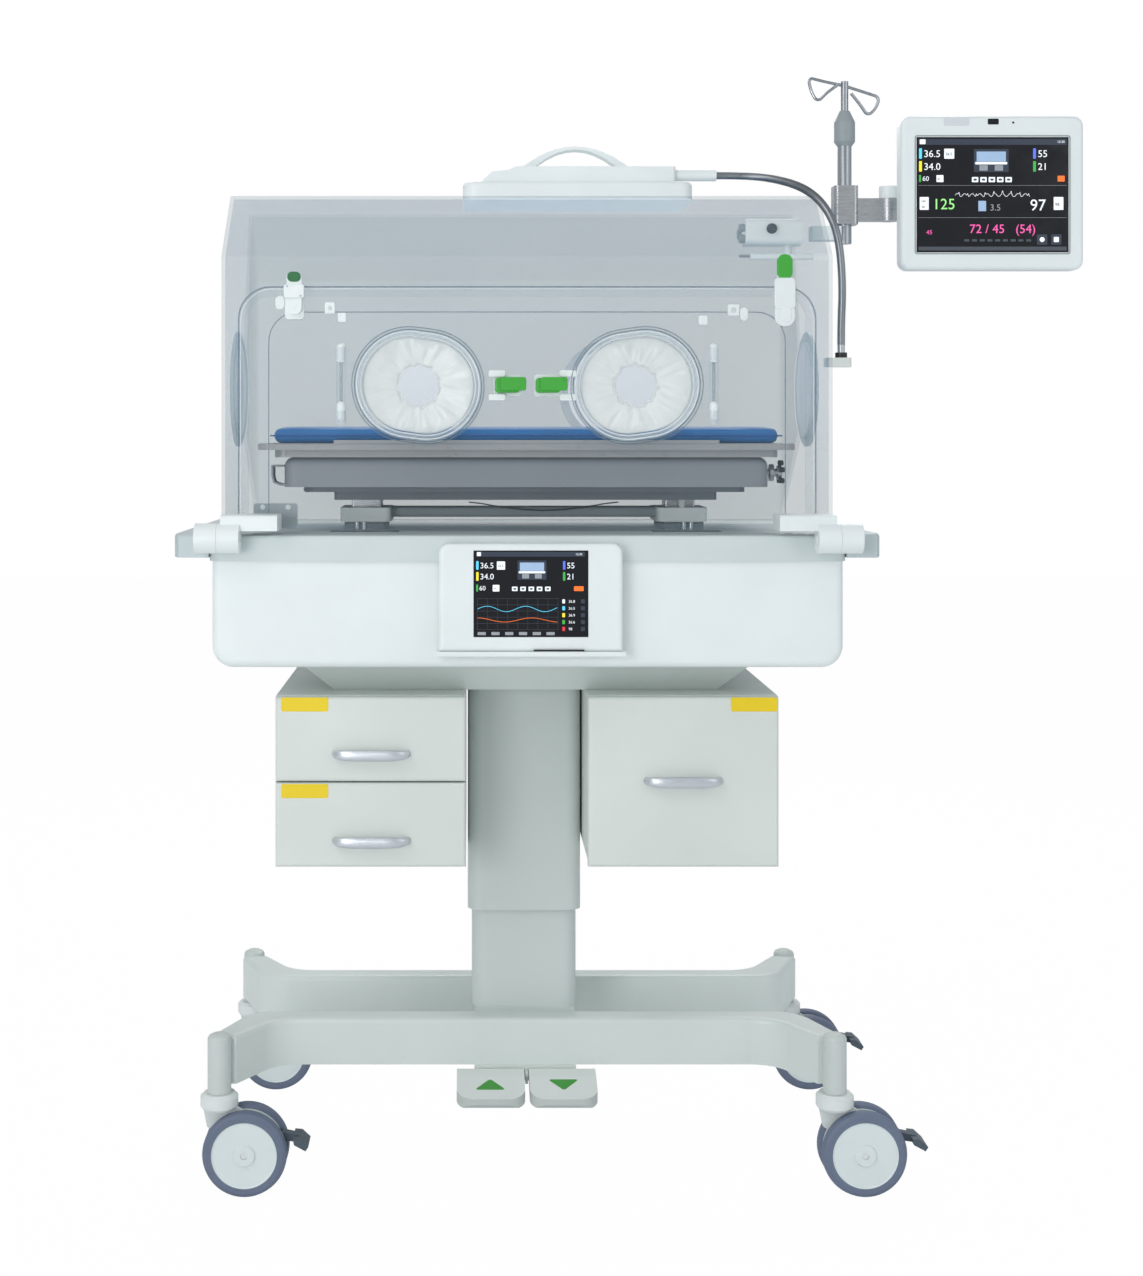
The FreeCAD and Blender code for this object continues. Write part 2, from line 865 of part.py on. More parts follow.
def rail(sign):
    """A push handle along one side of the body, with ends that turn in to it."""
    end = "rail_half_length"
    points = [
        ("deck_half_width", f"-{end}"),
        ("deck_half_width + rail_outer - 10", f"-{end}"),
        ("deck_half_width + rail_outer", f"-{end} + 30"),
        ("deck_half_width + rail_outer", f"{end} - 30"),
        ("deck_half_width + rail_outer - 10", end),
        ("deck_half_width", end),
        ("deck_half_width", f"{end} - 32"),
        ("deck_half_width + rail_inner", f"{end} - 54"),
        ("deck_half_width + rail_inner", f"-{end} + 54"),
        ("deck_half_width", f"-{end} + 32"),
    ]
    bar = prism(points, "rail_low", "rail_top", name="Rail")
    doc.recompute()
    wanted = both(level("z", size("rail_top")), side("x", 1, size("deck_half_width")))
    rounded(bar, "6", wanted)
    return bar if sign > 0 else mirrored(bar, Vector(1, 0, 0))


def side_fittings():
    named("push_handles", group(rail(1), rail(-1)))
    brackets = []
    for sign in ("-1", "1"):
        ends = (f"{sign} * knuckle_out", f"{sign} * knuckle_mid")
        low, high = ends if sign == "-1" else ends[::-1]
        length = "knuckle_out - knuckle_mid"
        knuckle = rod((low, "-hinge_y", "hinge_z"), length, "hinge_radius", "x")
        foot = box(
            (f"{low} + 4" if sign == "-1" else low, "-hinge_y", "hinge_z - 18"),
            (high if sign == "-1" else f"{high} - 20", "-deck_half_depth", "deck_top - 6"),
        )
        start = low if sign == "-1" else f"{sign} * (knuckle_in + 3)"
        pin = rod((start, "-hinge_y", "hinge_z"), "knuckle_out - knuckle_in - 3", "hinge_pin", "x")
        brackets.append(fuse(knuckle, foot, pin))
    named("hinge_brackets", group(*brackets))


def bed_lifts():
    """Two sliding posts in guide blocks, and the frame that the left one carries on a pin.

    The right post passes through the frame and lifts the trays, which are hinged to its left end.
    """
    blocks = []
    for x in ("-lift_x", "lift_x"):
        block = slab(
            (f"({x}) - lift_block_half", f"({x}) + lift_block_half"),
            span("lift_block_depth"),
            ("lift_block_low", "lift_block_top"),
            corner="8",
        )
        foot = slab(
            (f"({x}) - lift_block_half + 8", f"({x}) + lift_block_half - 8"),
            span("lift_block_depth + 18"),
            ("deck_top", "lift_block_low"),
            corner="4",
        )
        blocks.append(cut(fuse(block, foot), *lift_wells()))
    cross = slab(
        ("-lift_x + lift_block_half", "lift_x - lift_block_half"),
        span("30"),
        ("cross_low", "cross_top"),
    )
    rounded(cross, "4", along("x"))
    rests = []
    for sign in (-1, 1):
        low, high = ("lift_post_depth + 6", "lift_block_depth - 6")
        ends = (low, high) if sign > 0 else (f"-({high})", f"-({low})")
        centre = "frame_low - gap - rest_roller"
        stem = box(("lift_x - 4", ends[0], "lift_block_top - 1"), ("lift_x + 4", ends[1], centre))
        roll = rod(("lift_x", ends[0], centre), f"{high} - ({low})", "rest_roller", "y")
        rests += [stem, roll]
    named("bed_supports", fuse(*blocks, cross, *rests))

    half, deep = "lift_post_half", "lift_post_depth"
    low, top = "deck_top - lift_well + 1", "lift_pin_z + 7"
    post = slab(
        (f"-lift_x - {half}", f"-lift_x + {half}"), span(deep), (low, top), corner="3"
    )
    fork_gap = "yoke_length / 2 + gap"
    slot = box(
        ("-lift_x - 50", f"-({fork_gap})", "lift_pin_z - 10"), ("-lift_x + 50", fork_gap, "1100")
    )
    pin = rod(("-lift_x", f"-{deep}", "lift_pin_z"), f"2 * {deep}", "lift_pin", "y")
    named("bed_lift_left", fuse(cut(post, slot), pin))

    axle = "frame_top - gap - roller"
    post = slab(
        (f"lift_x - {half}", f"lift_x + {half}"), span(deep), (low, f"{axle} - 1"), corner="3"
    )
    wheel = rod(("lift_x", f"-{deep}", axle), f"2 * {deep}", "roller", "y")
    named("bed_lift_right", fuse(post, wheel))

    frame = slab(
        span("frame_half_width"),
        span("frame_half_depth"),
        ("frame_low", "frame_top - 8"),
        corner="6",
    )
    plate = slab(
        span("frame_half_width + 40"),
        span("frame_half_depth + 25"),
        ("frame_top - 8", "frame_top"),
        corner="12",
    )
    lug_half = "yoke_length / 2"
    start = ("-lift_x", f"-{lug_half}", "lift_pin_z")
    lug = box(
        ("-lift_x - 14", f"-{lug_half}", "lift_pin_z"), ("-lift_x + 14", lug_half, "frame_low + 3")
    )
    boss = rod(start, "yoke_length", "lift_boss", "y")
    bore = rod(start, "yoke_length", "lift_pin + running", "y")
    room = box(
        ("-lift_x - 30", "-lift_post_depth - 2", "lift_pin_z"),
        ("-lift_x + 30", "lift_post_depth + 2", "frame_low + 2"),
    )
    hole = box(
        ("lift_x - lift_post_half - 4", "-lift_post_depth - 2", "frame_low - 1"),
        ("lift_x + lift_post_half + 4", "lift_post_depth + 2", "frame_top + 1"),
    )
    opened = cut(fuse(frame, plate), room, hole)
    named("bed_frame", cut(fuse(opened, lug, boss, *bed_hinge("frame")), bore))


BED_HINGE_X = "(-frame_half_width - bed_hinge_out)"


def bed_hinge(part):
    """The knuckles at the left end that join the bed's frame to its trays, for either part."""
    x, z, radius = BED_HINGE_X, "bed_hinge_z", "bed_hinge_radius"
    made = []
    for sign in (-1, 1):
        inner = ("bed_hinge_near", "bed_hinge_mid")
        outer = ("bed_hinge_mid + gap", "bed_hinge_far")
        near, far = inner if part == "frame" else outer
        low, high = (near, far) if sign > 0 else (f"-({far})", f"-({near})")
        made.append(rod((x, low, z), f"{far} - ({near})", radius, "y"))
        if part == "frame":
            made.append(box((x, low, "frame_top - 8"), ("-frame_half_width - 37", high, "frame_top - 3")))
            start = "bed_hinge_near" if sign > 0 else "-bed_hinge_far - 2"
            reach = "bed_hinge_far + 2 - bed_hinge_near"
            made.append(rod((x, start, z), reach, "bed_hinge_pin", "y"))
        else:
            made.append(box((f"{x} - 4", low, z), (f"{x} + 4", high, "frame_top + 2")))
    return made


def bed():
    bed_lifts()
    tray = slab(
        span("xray_half_width"),
        span("xray_half_depth"),
        ("frame_top", "xray_top"),
        corner="xray_corner",
    )
    rounded(tray, "14", level("z", size("xray_top")))
    slot = box(
        ("-xray_half_width - 1", "-xray_half_depth + xray_wall", "frame_top + 12"),
        ("xray_half_width - xray_wall", "xray_half_depth - xray_wall", "frame_top + 12 + xray_slot"),
    )
    far = "bed_hinge_far + 3"
    bore_start = (BED_HINGE_X, f"-({far})", "bed_hinge_z")
    bore = rod(bore_start, f"2 * ({far})", "bed_hinge_pin + running", "y")
    named("xray_tray", cut(fuse(cut(tray, slot), *bed_hinge("tray")), bore))

    rail = slab(
        span("bed_rail_half_width"),
        span("bed_half_depth - 12"),
        ("xray_top", "bed_flange_low"),
        corner="16",
    )
    flange = slab(
        span("bed_half_width"), span("bed_half_depth"), ("bed_flange_low", "bed_flange_top"), corner="20"
    )
    rounded(flange, "3", level("z", size("bed_flange_top")))
    lip = slab(
        span("bed_lip_half"),
        span("bed_half_depth - 2"),
        ("bed_flange_top - 5", "bed_flange_top + 5"),
        corner="4",
    )
    inner = slab(
        span("mattress_half_width + gap"),
        span("mattress_half_depth + gap"),
        ("bed_flange_top - 1", "mattress_top"),
        corner="mattress_corner + gap",
    )
    named("mattress_tray", cut(fuse(rail, flange, lip), inner))
    pad = slab(
        span("mattress_half_width"),
        span("mattress_half_depth"),
        ("bed_flange_top - 1 + gap", "mattress_top"),
        corner="mattress_corner",
    )
    rounded(pad, "6", level("z", size("mattress_top")))
    named("mattress", pad)


def hood_profile(inset):
    """The hood's end outline: straight walls, sloped shoulders and a flat roof."""
    wall, slope = f"hood_half_depth - {inset}", f"hood_roof_half_depth - {inset} * 0.6"
    shoulder, roof = f"hood_shoulder - {inset} * 0.4", f"hood_roof - {inset}"
    right = [(wall, "deck_top"), (wall, shoulder), (slope, roof)]
    return [(f"-({y})", z) for y, z in reversed(right)] + right


def hood():
    outer = prism(hood_profile("0"), *span("hood_half_width"), "x", "Hood")
    inner = prism(hood_profile("hood_wall"), *span("hood_half_width - hood_wall"), "x", "Room")
    opening = slab(
        span("door_half_width - door_overlap"),
        ("-hood_half_depth - 5", "-hood_half_depth + hood_wall + 5"),
        ("door_low + 7", "door_top - door_overlap"),
        "y",
    )
    rounded(opening, "door_corner - door_overlap", both(along("y"), side("z", 1, size("port_z"))))
    holes = [
        rod((x, "hood_half_depth - 20", "port_z"), "40", "side_port_radius", "y")
        for x in ("-port_x", "port_x")
    ]
    holes += [
        rod((x, "0", "port_z"), "40", "side_port_radius", "x")
        for x in ("-hood_half_width - 20", "hood_half_width - 20")
    ]
    named("hood_shell", cut(outer, inner, opening, *holes))

    covers = []
    for x in ("-port_x", "port_x"):
        plate = rod((x, "hood_half_depth", "port_z"), "side_cover_wall", "side_cover_radius", "y")
        plug = rod((x, "hood_half_depth - 4", "port_z"), "6", "side_port_radius - gap", "y")
        covers.append(fuse(plate, plug))
    for x, back in (("-hood_half_width - side_cover_wall", "2"), ("hood_half_width", "-4")):
        plate = rod((x, "0", "port_z"), "side_cover_wall", "side_cover_radius", "x")
        start = f"{x} + {back}" if back == "2" else f"{x} {back}"
        plug = rod((start, "0", "port_z"), "7", "side_port_radius - gap", "x")
        covers.append(fuse(plate, plug))
    end = HOSE_ROUTE[-1]
    clip = slab(
        ("hood_half_width", str(end[0] + 14)),
        (str(end[1] - 12), str(end[1] + 12)),
        (str(end[2] - 34), str(end[2] - 20)),
        corner="4",
    )
    nut = rod((str(end[0]), str(end[1]), str(end[2] - 21)), "9", "hose_radius + 2.5")
    ferrule = rod((str(end[0]), str(end[1]), str(end[2] - 13)), "13", "hose_radius - 1")
    named("hood_fittings", group(*covers, fuse(clip, nut, ferrule)))

    module = slab(
        ("sensor_left", "sensor_right"),
        ("-sensor_near", "-sensor_far"),
        ("sensor_low", "sensor_top"),
        "x",
        corner="10",
    )
    bar = rod(
        ("sensor_left + 10", "(-sensor_near - sensor_far) / 2", "sensor_low - 17"),
        "hood_half_width - hood_wall - sensor_left - 10",
        "5",
        "x",
    )
    stem = rod(("sensor_right - 20", "(-sensor_near - sensor_far) / 2", "sensor_low - 18"), "22", "5")
    cap = rod(("sensor_left - 5", "(-sensor_near - sensor_far) / 2", "sensor_low + 20"), "8", "14", "x")
    named("sensor_module", fuse(module, bar, stem, cap))


DOOR_FACE = "-hood_half_depth - gap - door_wall"


def oval(hand, y0, y1, grow="0", half=None):
    """A tilted oval block centred on one port."""
    wide, high = half or (f"port_half_width + {grow}", f"port_half_height + {grow}")
    body = slab(span(wide), (y0, y1), span(high), "y", corner=f"{high} - 0.5", name="Oval")
    body.Placement.Rotation = FreeCAD.Rotation(Vector(0, 1, 0), -hand * 8)
    return place(body, f"{hand} * port_x", "0", "port_z")


def front_door():
    plate = slab(
        span("door_half_width"), (DOOR_FACE, "-hood_half_depth - gap"), ("door_low", "door_top"), "y"
    )
    rounded(plate, "door_corner", both(along("y"), side("z", 1, size("port_z"))))
    ports = [oval(h, f"{DOOR_FACE} - 5", "-hood_half_depth + 5") for h in (-1, 1)]
    named("front_door", cut(plate, *ports))

    arms = []
    for sign in (-1, 1):
        low = "-knuckle_mid + gap" if sign < 0 else "knuckle_in"
        length = "knuckle_mid - knuckle_in - gap"
        knuckle = rod((low, "-hinge_y", "hinge_z"), length, "hinge_radius", "x")
        bore = rod((f"{low} - 5", "-hinge_y", "hinge_z"), "60", "hinge_pin + running", "x")
        ends = ("-knuckle_mid + gap + 5", "-arm_in") if sign < 0 else ("arm_in", "knuckle_mid - gap - 5")
        arm = slab(ends, ("-hinge_y - 8", DOOR_FACE), ("arm_low", "arm_top"))
        rounded(arm, "5", both(along("x"), side("z", 1, size("arm_low") + 1)))
        web = box((low, "-hinge_y - 8", "hinge_z"), (f"{low} + {length}", "-hinge_y + 8", "arm_low + 2"))
        arms.append(cut(fuse(knuckle, web, arm), bore))
    named("front_door_arms", group(*arms))

    pieces, pivot_y = [], f"{DOOR_FACE} - port_hinge_radius - 2"
    for hand in (-1, 1):
        ring = oval(hand, f"{DOOR_FACE} - port_rim_depth", DOOR_FACE, "port_rim")
        hole = oval(hand, f"{DOOR_FACE} - port_rim_depth - 5", f"{DOOR_FACE} + 5")
        pieces.append(cut(ring, hole))
        x, grip = f"{hand} * port_hinge_x", "port_hinge_half - 20"
        ends = []
        for z in ("port_z - port_hinge_half", f"port_z + {grip}"):
            ends.append(rod((x, pivot_y, z), "20", "port_hinge_radius"))
            ends.append(box((f"{x} - 5", pivot_y, z), (f"{x} + 5", DOOR_FACE, f"{z} + 20")))
        pin = rod((x, pivot_y, "port_z - port_hinge_half + 2"), "2 * port_hinge_half - 4", "port_hinge_pin")
        pieces.append(fuse(*ends, pin))
        x = f"{hand} * catch_x"
        base = slab(
            (f"{x} - catch_half_width", f"{x} + catch_half_width"),
            (f"{DOOR_FACE} - 8", DOOR_FACE),
            ("port_z - catch_half_height - 5", "port_z + catch_half_height + 5"),
            "y",
            corner="5",
        )
        bore = rod((x, f"{DOOR_FACE} - 9", "port_z"), "8.5", "3 + running", "y")
        pieces.append(cut(base, bore))
        x = "-latch_left_x" if hand < 0 else "latch_right_x"
        base = slab(
            (f"{x} - latch_half_width", f"{x} + latch_half_width"),
            (f"{DOOR_FACE} - 10", DOOR_FACE),
            ("latch_z - 34", "latch_z + 12"),
            "y",
            corner="6",
        )
        pin = rod((x, f"{DOOR_FACE} - 18", "latch_z - 14"), "10", "latch_pin", "y")
        pieces.append(fuse(base, pin))
    named("door_fittings", group(*pieces))

    cuffs = []
    for hand in (-1, 1):
        disc = oval(hand, f"{DOOR_FACE} + 0.5", "-hood_half_depth - gap - 0.5", "-gap")
        x = f"{hand} * port_x"
        hole = rod((x, f"{DOOR_FACE} - 5", "port_z"), "60", "cuff_hole", "y")
        cuffs.append(cut(disc, hole))
    named("port_cuffs", group(*cuffs))

    for hand, word in ((-1, "left"), (1, "right")):
        cover_hand(hand, word, pivot_y)


def cover_hand(hand, word, pivot_y):
    """A port's clear cover, its push catch, and the door latch on the same side."""
    face = f"{DOOR_FACE} - port_rim_depth"
    outline = ("cover_half_width", "cover_half_height")
    cover = oval(hand, f"{face} - gap - cover_wall", f"{face} - gap", half=outline)
    x = f"{hand} * port_hinge_x"
    inner = f"{hand} * (port_x + cover_half_width - 14)"
    ends = (x, inner) if hand < 0 else (inner, x)
    half = "port_hinge_half - 20 - gap"
    arm = box(
        (ends[0], f"{face} - gap - cover_wall", f"port_z - ({half})"),
        (ends[1], f"{face} - gap", f"port_z + {half}"),
    )
    knuckle = rod((x, pivot_y, f"port_z - ({half})"), f"2 * ({half})", "port_hinge_radius")
    bore = rod((x, pivot_y, "port_z - 80"), "160", "port_hinge_pin + running")
    named("port_door_" + word, cut(fuse(cover, arm, knuckle), bore))

    x, front = f"{hand} * catch_x", f"{DOOR_FACE} - 8 - catch_travel - gap"
    button = slab(
        (f"{x} - catch_half_width + 2", f"{x} + catch_half_width - 2"),
        (f"{front} - 9", front),
        ("port_z - catch_half_height", "port_z + catch_half_height"),
        "y",
        corner="5",
    )
    rounded(button, "2.5", level("y", size_of(f"{DOOR_FACE}") - 8 - size("catch_travel") - size("gap") - 9))
    stem = rod((x, f"{front} - 1", "port_z"), "catch_travel + gap + 3.5", "3", "y")
    named("port_catch_" + word, fuse(button, stem))

    x, back = ("-latch_left_x" if hand < 0 else "latch_right_x"), f"{DOOR_FACE} - 10 - gap"
    lever = slab(
        (f"{x} - latch_half_width + 3", f"{x} + latch_half_width - 3"),
        (f"{back} - 7", back),
        ("latch_z - 27", "latch_z + 36"),
        "y",
        corner="9",
    )
    bore = rod((x, f"{back} - 20", "latch_z - 14"), "40", "latch_pin + running", "y")
    named("door_latch_" + word, cut(lever, bore))


def size_of(text):
    """The value of a sum of plain words and numbers."""
    total, sign = 0.0, 1
    for token in text.split():
        if token in "+-":
            sign = 1 if token == "+" else -1
            continue
        word = token.lstrip("-")
        factor = -1 if token.startswith("-") else 1
        total += sign * factor * (size(word) if word in SIZES else float(word))
    return total


HOSE_ROUTE = [
    (303, -60, 1534),
    (345, -60, 1534),
    (388, -76, 1528),
    (424, -112, 1512),
    (446, -146, 1490),
    (462, -165, 1463),
    (472, -173, 1434),
    (478, -175, 1394),
    (481, -172, 1342),
    (480, -166, 1296),
    (480, -166, 1262),
]


def lamp():
    """The lamp box on the roof, with its carrying handle and its hose."""
    x = "lamp_x"
    lower = slab(
        (f"{x} - lamp_half_width", f"{x} + lamp_half_width"),
        span("lamp_half_depth"),
        ("hood_roof", "lamp_tier"),
        corner="22",
    )
    rounded(lower, "6", level("z", size("lamp_tier")))
    tier = [
        (f"{x} - lamp_slope_low", "lamp_tier - 1"),
        (f"{x} - lamp_slope_low + 8", "lamp_tier + 2"),
        (f"{x} - lamp_slope_mid - 8", "lamp_top - 8"),
        (f"{x} - lamp_slope_mid + 16", "lamp_top - 6"),
        (f"{x} - lamp_handle_half", "lamp_top"),
        (f"{x} + lamp_handle_half", "lamp_top"),
        (f"{x} + lamp_slope_mid - 16", "lamp_top - 6"),
        (f"{x} + lamp_slope_mid + 8", "lamp_top - 8"),
        (f"{x} + lamp_slope_low - 8", "lamp_tier + 2"),
        (f"{x} + lamp_slope_low", "lamp_tier - 1"),
    ]
    upper = prism(tier, *span("lamp_half_depth - 12"), "y", "Upper")
    rise, across = "(lamp_handle_top - lamp_top)", "lamp_handle_half"
    spots = (-1, -0.83, -0.62, -0.4, -0.2, 0, 0.2, 0.4, 0.62, 0.83, 1)
    arch = [(f"{x} + {across} * {t}", f"lamp_top - 1 + {rise} * {1 - t * t:.4f}") for t in spots]
    under = [
        (f"{x} + lamp_opening_half * {t}", f"lamp_top - 1 + ({rise} - lamp_strap) * {1 - t * t:.4f}")
        for t in reversed(spots)
    ]
    handle = prism(arch + under, *span("15"), "y", "Handle")
    start = HOSE_ROUTE[0]
    block = slab(
        (f"{x} + lamp_handle_half", f"{x} + lamp_half_width - 26"),
        (str(start[1] - 18), str(start[1] + 18)),
        ("lamp_tier - 2", "lamp_top"),
        corner="6",
    )
    rear = f"{x} + lamp_half_width - 30"
    plug = rod((rear, str(start[1]), str(start[2])), f"{start[0]} - ({rear})", "hose_radius + 2.5", "x")
    named("lamp_housing", fuse(lower, upper, handle, block, plug))

    radius = size("hose_radius")
    solid, length, radii = tube(HOSE_ROUTE, radius)
    named("gooseneck", shape_feature("Gooseneck", solid))
    ratio = solid.Volume / (length * math.pi * radius**2)
    print("hose length", round(length, 1), "volume ratio", round(ratio, 4))
    print("hose radii", [round(r) for r in radii])


HOOK_WIRES = {
    "Left": [(-4, 0, 1), (-40, 0, 9), (-58, 0, 14), (-53, 0, -9), (-43, 0, -26), (-30, -3, -12), (-9, -5, 3)],
    "Right": [(4, 0, -1), (38, 0, -12), (56, 0, -18), (50, 0, -35), (37, 0, -48), (25, -3, -31), (9, -5, -12)],
}


def wire_hook(name):
    """One open wire loop beside the top of the rod."""
    x, y = size("pole_x"), size("pole_y")
    z = size("collar_top") + size("hook_rise") - size("hook_drop")
    points = [(x + along_x, y + along_y, z + up) for along_x, along_y, up in HOOK_WIRES[name]]
    solid, _, _ = tube(points, size("hook_wire"))
    return shape_feature(name, solid)


def pole():
    at = ("pole_x", "pole_y")
    post = rod((*at, "pole_low"), "pole_top - pole_low", "pole_radius")
    rod_low = "(collar_top - hook_rod_depth)"
    bore = rod((*at, f"{rod_low} - 6"), "pole_top", "pole_bore")
    bracket = slab(
        ("hood_half_width", "pole_x - 6"),
        ("pole_y - pole_radius - 6", "pole_y + pole_radius + 4"),
        ("pole_low + 5", "pole_low + 5 + bracket_height"),
        corner="3",
        name="Bracket",
    )
    ring = [
        ("hook_rod + running", "0"),
        ("collar_radius - 5", "0"),
        ("collar_radius", "7"),
        ("collar_radius", "38"),
        ("hook_rod + 2", "collar_top - pole_top"),
        ("hook_rod + running", "collar_top - pole_top"),
    ]
    collar = place(turned(ring, "Collar"), *at, "pole_top")
    named("iv_pole", group(cut(fuse(post, bracket), bore), collar))
    stick = rod((*at, rod_low), "hook_rod_depth + hook_rise", "hook_rod")
    named("iv_hook", fuse(stick, wire_hook("Left"), wire_hook("Right")))


def monitor_arms():
    at = ("pole_x", "pole_y")
    clamp = slab(
        ("pole_x - clamp_half", "pole_x + clamp_half"),
        ("pole_y - clamp_half", "pole_y + clamp_half"),
        ("clamp_low", "clamp_top"),
        corner="7",
    )
    bore = rod((*at, "clamp_low - 5"), "100", "pole_radius + running")
    link = box(
        ("pole_x + clamp_half - 1", "pole_y - 11", "link_low"),
        ("elbow_x", "pole_y + 11", "link_top"),
    )
    knuckle = rod(("elbow_x", "pole_y", "link_low"), "link_top - link_low", "link_radius")
    rise = "outer_link_top - link_low - 3"
    pin = rod(("elbow_x", "pole_y", "link_low"), rise, "elbow_pin")
    named("monitor_arm_inner", fuse(cut(clamp, bore), link, knuckle, pin))

    knuckle = rod(("elbow_x", "pole_y", "outer_link_low"), "outer_link_top - outer_link_low", "link_radius")
    arm = box(("elbow_x", "pole_y - 9", "outer_link_low"), ("tilt_x + 12", "pole_y + 9", "outer_link_top"))
    bore = rod(("elbow_x", "pole_y", "link_low"), "100", "elbow_pin + running")
    head = box(
        ("tilt_x - 12", "tilt_y", "outer_link_low"), ("tilt_x + 12", "pole_y + 9", "outer_link_top")
    )
    middle = "(outer_link_low + outer_link_top) / 2"
    nose = rod(("tilt_x - 12", "tilt_y", middle), "24", "9", "x")
    pin = rod(("tilt_x - 24", "tilt_y", middle), "48", "tilt_pin", "x")
    named("monitor_arm_outer", cut(fuse(knuckle, arm, head, nose, pin), bore))

    case = slab(
        ("monitor_left", "monitor_right"),
        ("-monitor_front", "-monitor_back"),
        ("monitor_low", "monitor_top"),
        "y",
        corner="monitor_corner",
    )
    rounded(case, "7", level("y", -size("monitor_front")))
    rounded(case, "9", level("y", -size("monitor_back")))
    low, high = "monitor_low + monitor_bezel + 3", "monitor_top - monitor_bezel - 9"
    recess = box(
        ("monitor_left + monitor_bezel", "-monitor_front - 1", low),
        ("monitor_right - monitor_bezel", "-monitor_front + monitor_recess", high),
    )
    ears, bores = [], []
    for x in ("tilt_x - 12 - gap - 9", "tilt_x + 12 + gap"):
        ears.append(rod((x, "tilt_y", middle), "9", "9", "x"))
        ears.append(box((x, "-monitor_back - 1", f"{middle} - 9"), (f"{x} + 9", "tilt_y", f"{middle} + 9")))
    bores.append(rod(("tilt_x - 40", "tilt_y", middle), "80", "tilt_pin + running", "x"))
    glass = box(
        ("monitor_left + monitor_bezel + gap", "-monitor_front + 0.5", f"{low} + gap"),
        ("monitor_right - monitor_bezel - gap", "-monitor_front + monitor_recess", f"{high} - gap"),
    )
    named("monitor_housing", group(cut(fuse(cut(case, recess), *ears), *bores), glass))


def main():
    stand()
    pedal("pedal_up", "-pedal_left", "pedal_middle - pedal_half_gap")
    pedal("pedal_down", "pedal_middle + pedal_half_gap", "pedal_right")
    for end, y in (("f", "-stem_y"), ("r", "stem_y")):
        for hand, x in (("l", "-stem_x"), ("r", "stem_x")):
            caster(end + hand, x, y)
    lift_column()
    cabinets()
    main_body()
    side_fittings()
    bed()
    hood()
    front_door()
    lamp()
    pole()
    monitor_arms()


main()
doc.recompute()
for item in doc.Objects:
    if {"Invalid", "Error"} & set(item.State):
        raise RuntimeError(f"{item.Name} ({item.Label}) failed: {item.State}")
os.makedirs("parts", exist_ok=True)
for name, item in PARTS.items():
    shape = item.Shape
    if shape.isNull() or not shape.isValid() or not shape.Solids:
        raise RuntimeError(f"{name} has no valid solid")
    shape.exportStep(f"parts/{name}.step")
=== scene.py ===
"""The look of an infant incubator: finishes, screens, cuffs, mattress, hose and small fittings."""

import math
import random

import bmesh
import bpy
from mathutils import Matrix, Vector


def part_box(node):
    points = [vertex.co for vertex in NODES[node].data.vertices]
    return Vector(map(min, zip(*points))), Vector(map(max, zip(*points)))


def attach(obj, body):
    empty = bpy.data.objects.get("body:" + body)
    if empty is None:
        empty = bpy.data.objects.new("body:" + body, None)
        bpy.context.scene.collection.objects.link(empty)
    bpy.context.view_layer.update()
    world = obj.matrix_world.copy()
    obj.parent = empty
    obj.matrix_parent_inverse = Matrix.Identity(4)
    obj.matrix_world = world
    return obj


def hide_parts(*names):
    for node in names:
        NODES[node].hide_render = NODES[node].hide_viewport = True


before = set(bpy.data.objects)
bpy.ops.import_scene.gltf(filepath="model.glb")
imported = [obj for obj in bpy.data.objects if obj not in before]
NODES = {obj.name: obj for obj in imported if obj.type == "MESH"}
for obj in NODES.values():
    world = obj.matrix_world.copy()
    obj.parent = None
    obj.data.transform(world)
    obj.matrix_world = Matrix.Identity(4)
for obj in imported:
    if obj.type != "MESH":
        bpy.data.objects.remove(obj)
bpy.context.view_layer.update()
random.seed(7)
MM = 0.001


def mm(*values):
    """Millimetres to a vector in metres."""
    return Vector(values) * MM


def new_object(name, data):
    obj = bpy.data.objects.new(name, data)
    bpy.context.collection.objects.link(obj)
    return obj


# Camera, as in the photograph: level, about three metres in front

FOCAL = 1897  # focal length in pixels of the 1143 by 1276 frame
FRAME_WIDTH, FRAME_HEIGHT = 1143, 1276
MIDDLE = (470, 435)  # where the view's axis meets the picture
SENSOR = 36
VIEWPOINT = mm(-85, -3054, 1124.6)

camera = new_object("camera", bpy.data.cameras.new("camera"))
bpy.context.scene.camera = camera
camera.location = VIEWPOINT
camera.rotation_euler = (math.radians(90), 0, 0)
camera.data.sensor_width = SENSOR
camera.data.lens = SENSOR * FOCAL / FRAME_HEIGHT
camera.data.shift_x = (FRAME_WIDTH / 2 - MIDDLE[0]) / FRAME_HEIGHT
camera.data.shift_y = -(FRAME_HEIGHT / 2 - MIDDLE[1]) / FRAME_HEIGHT

scene = bpy.context.scene
scene.view_settings.view_transform = "Standard"


# Materials


def srgb(r, g, b):
    """A colour given as 0-255 screen values, in linear light."""
    def linear(v):
        v /= 255
        return v / 12.92 if v <= 0.04045 else ((v + 0.055) / 1.055) ** 2.4
    return (linear(r), linear(g), linear(b), 1.0)


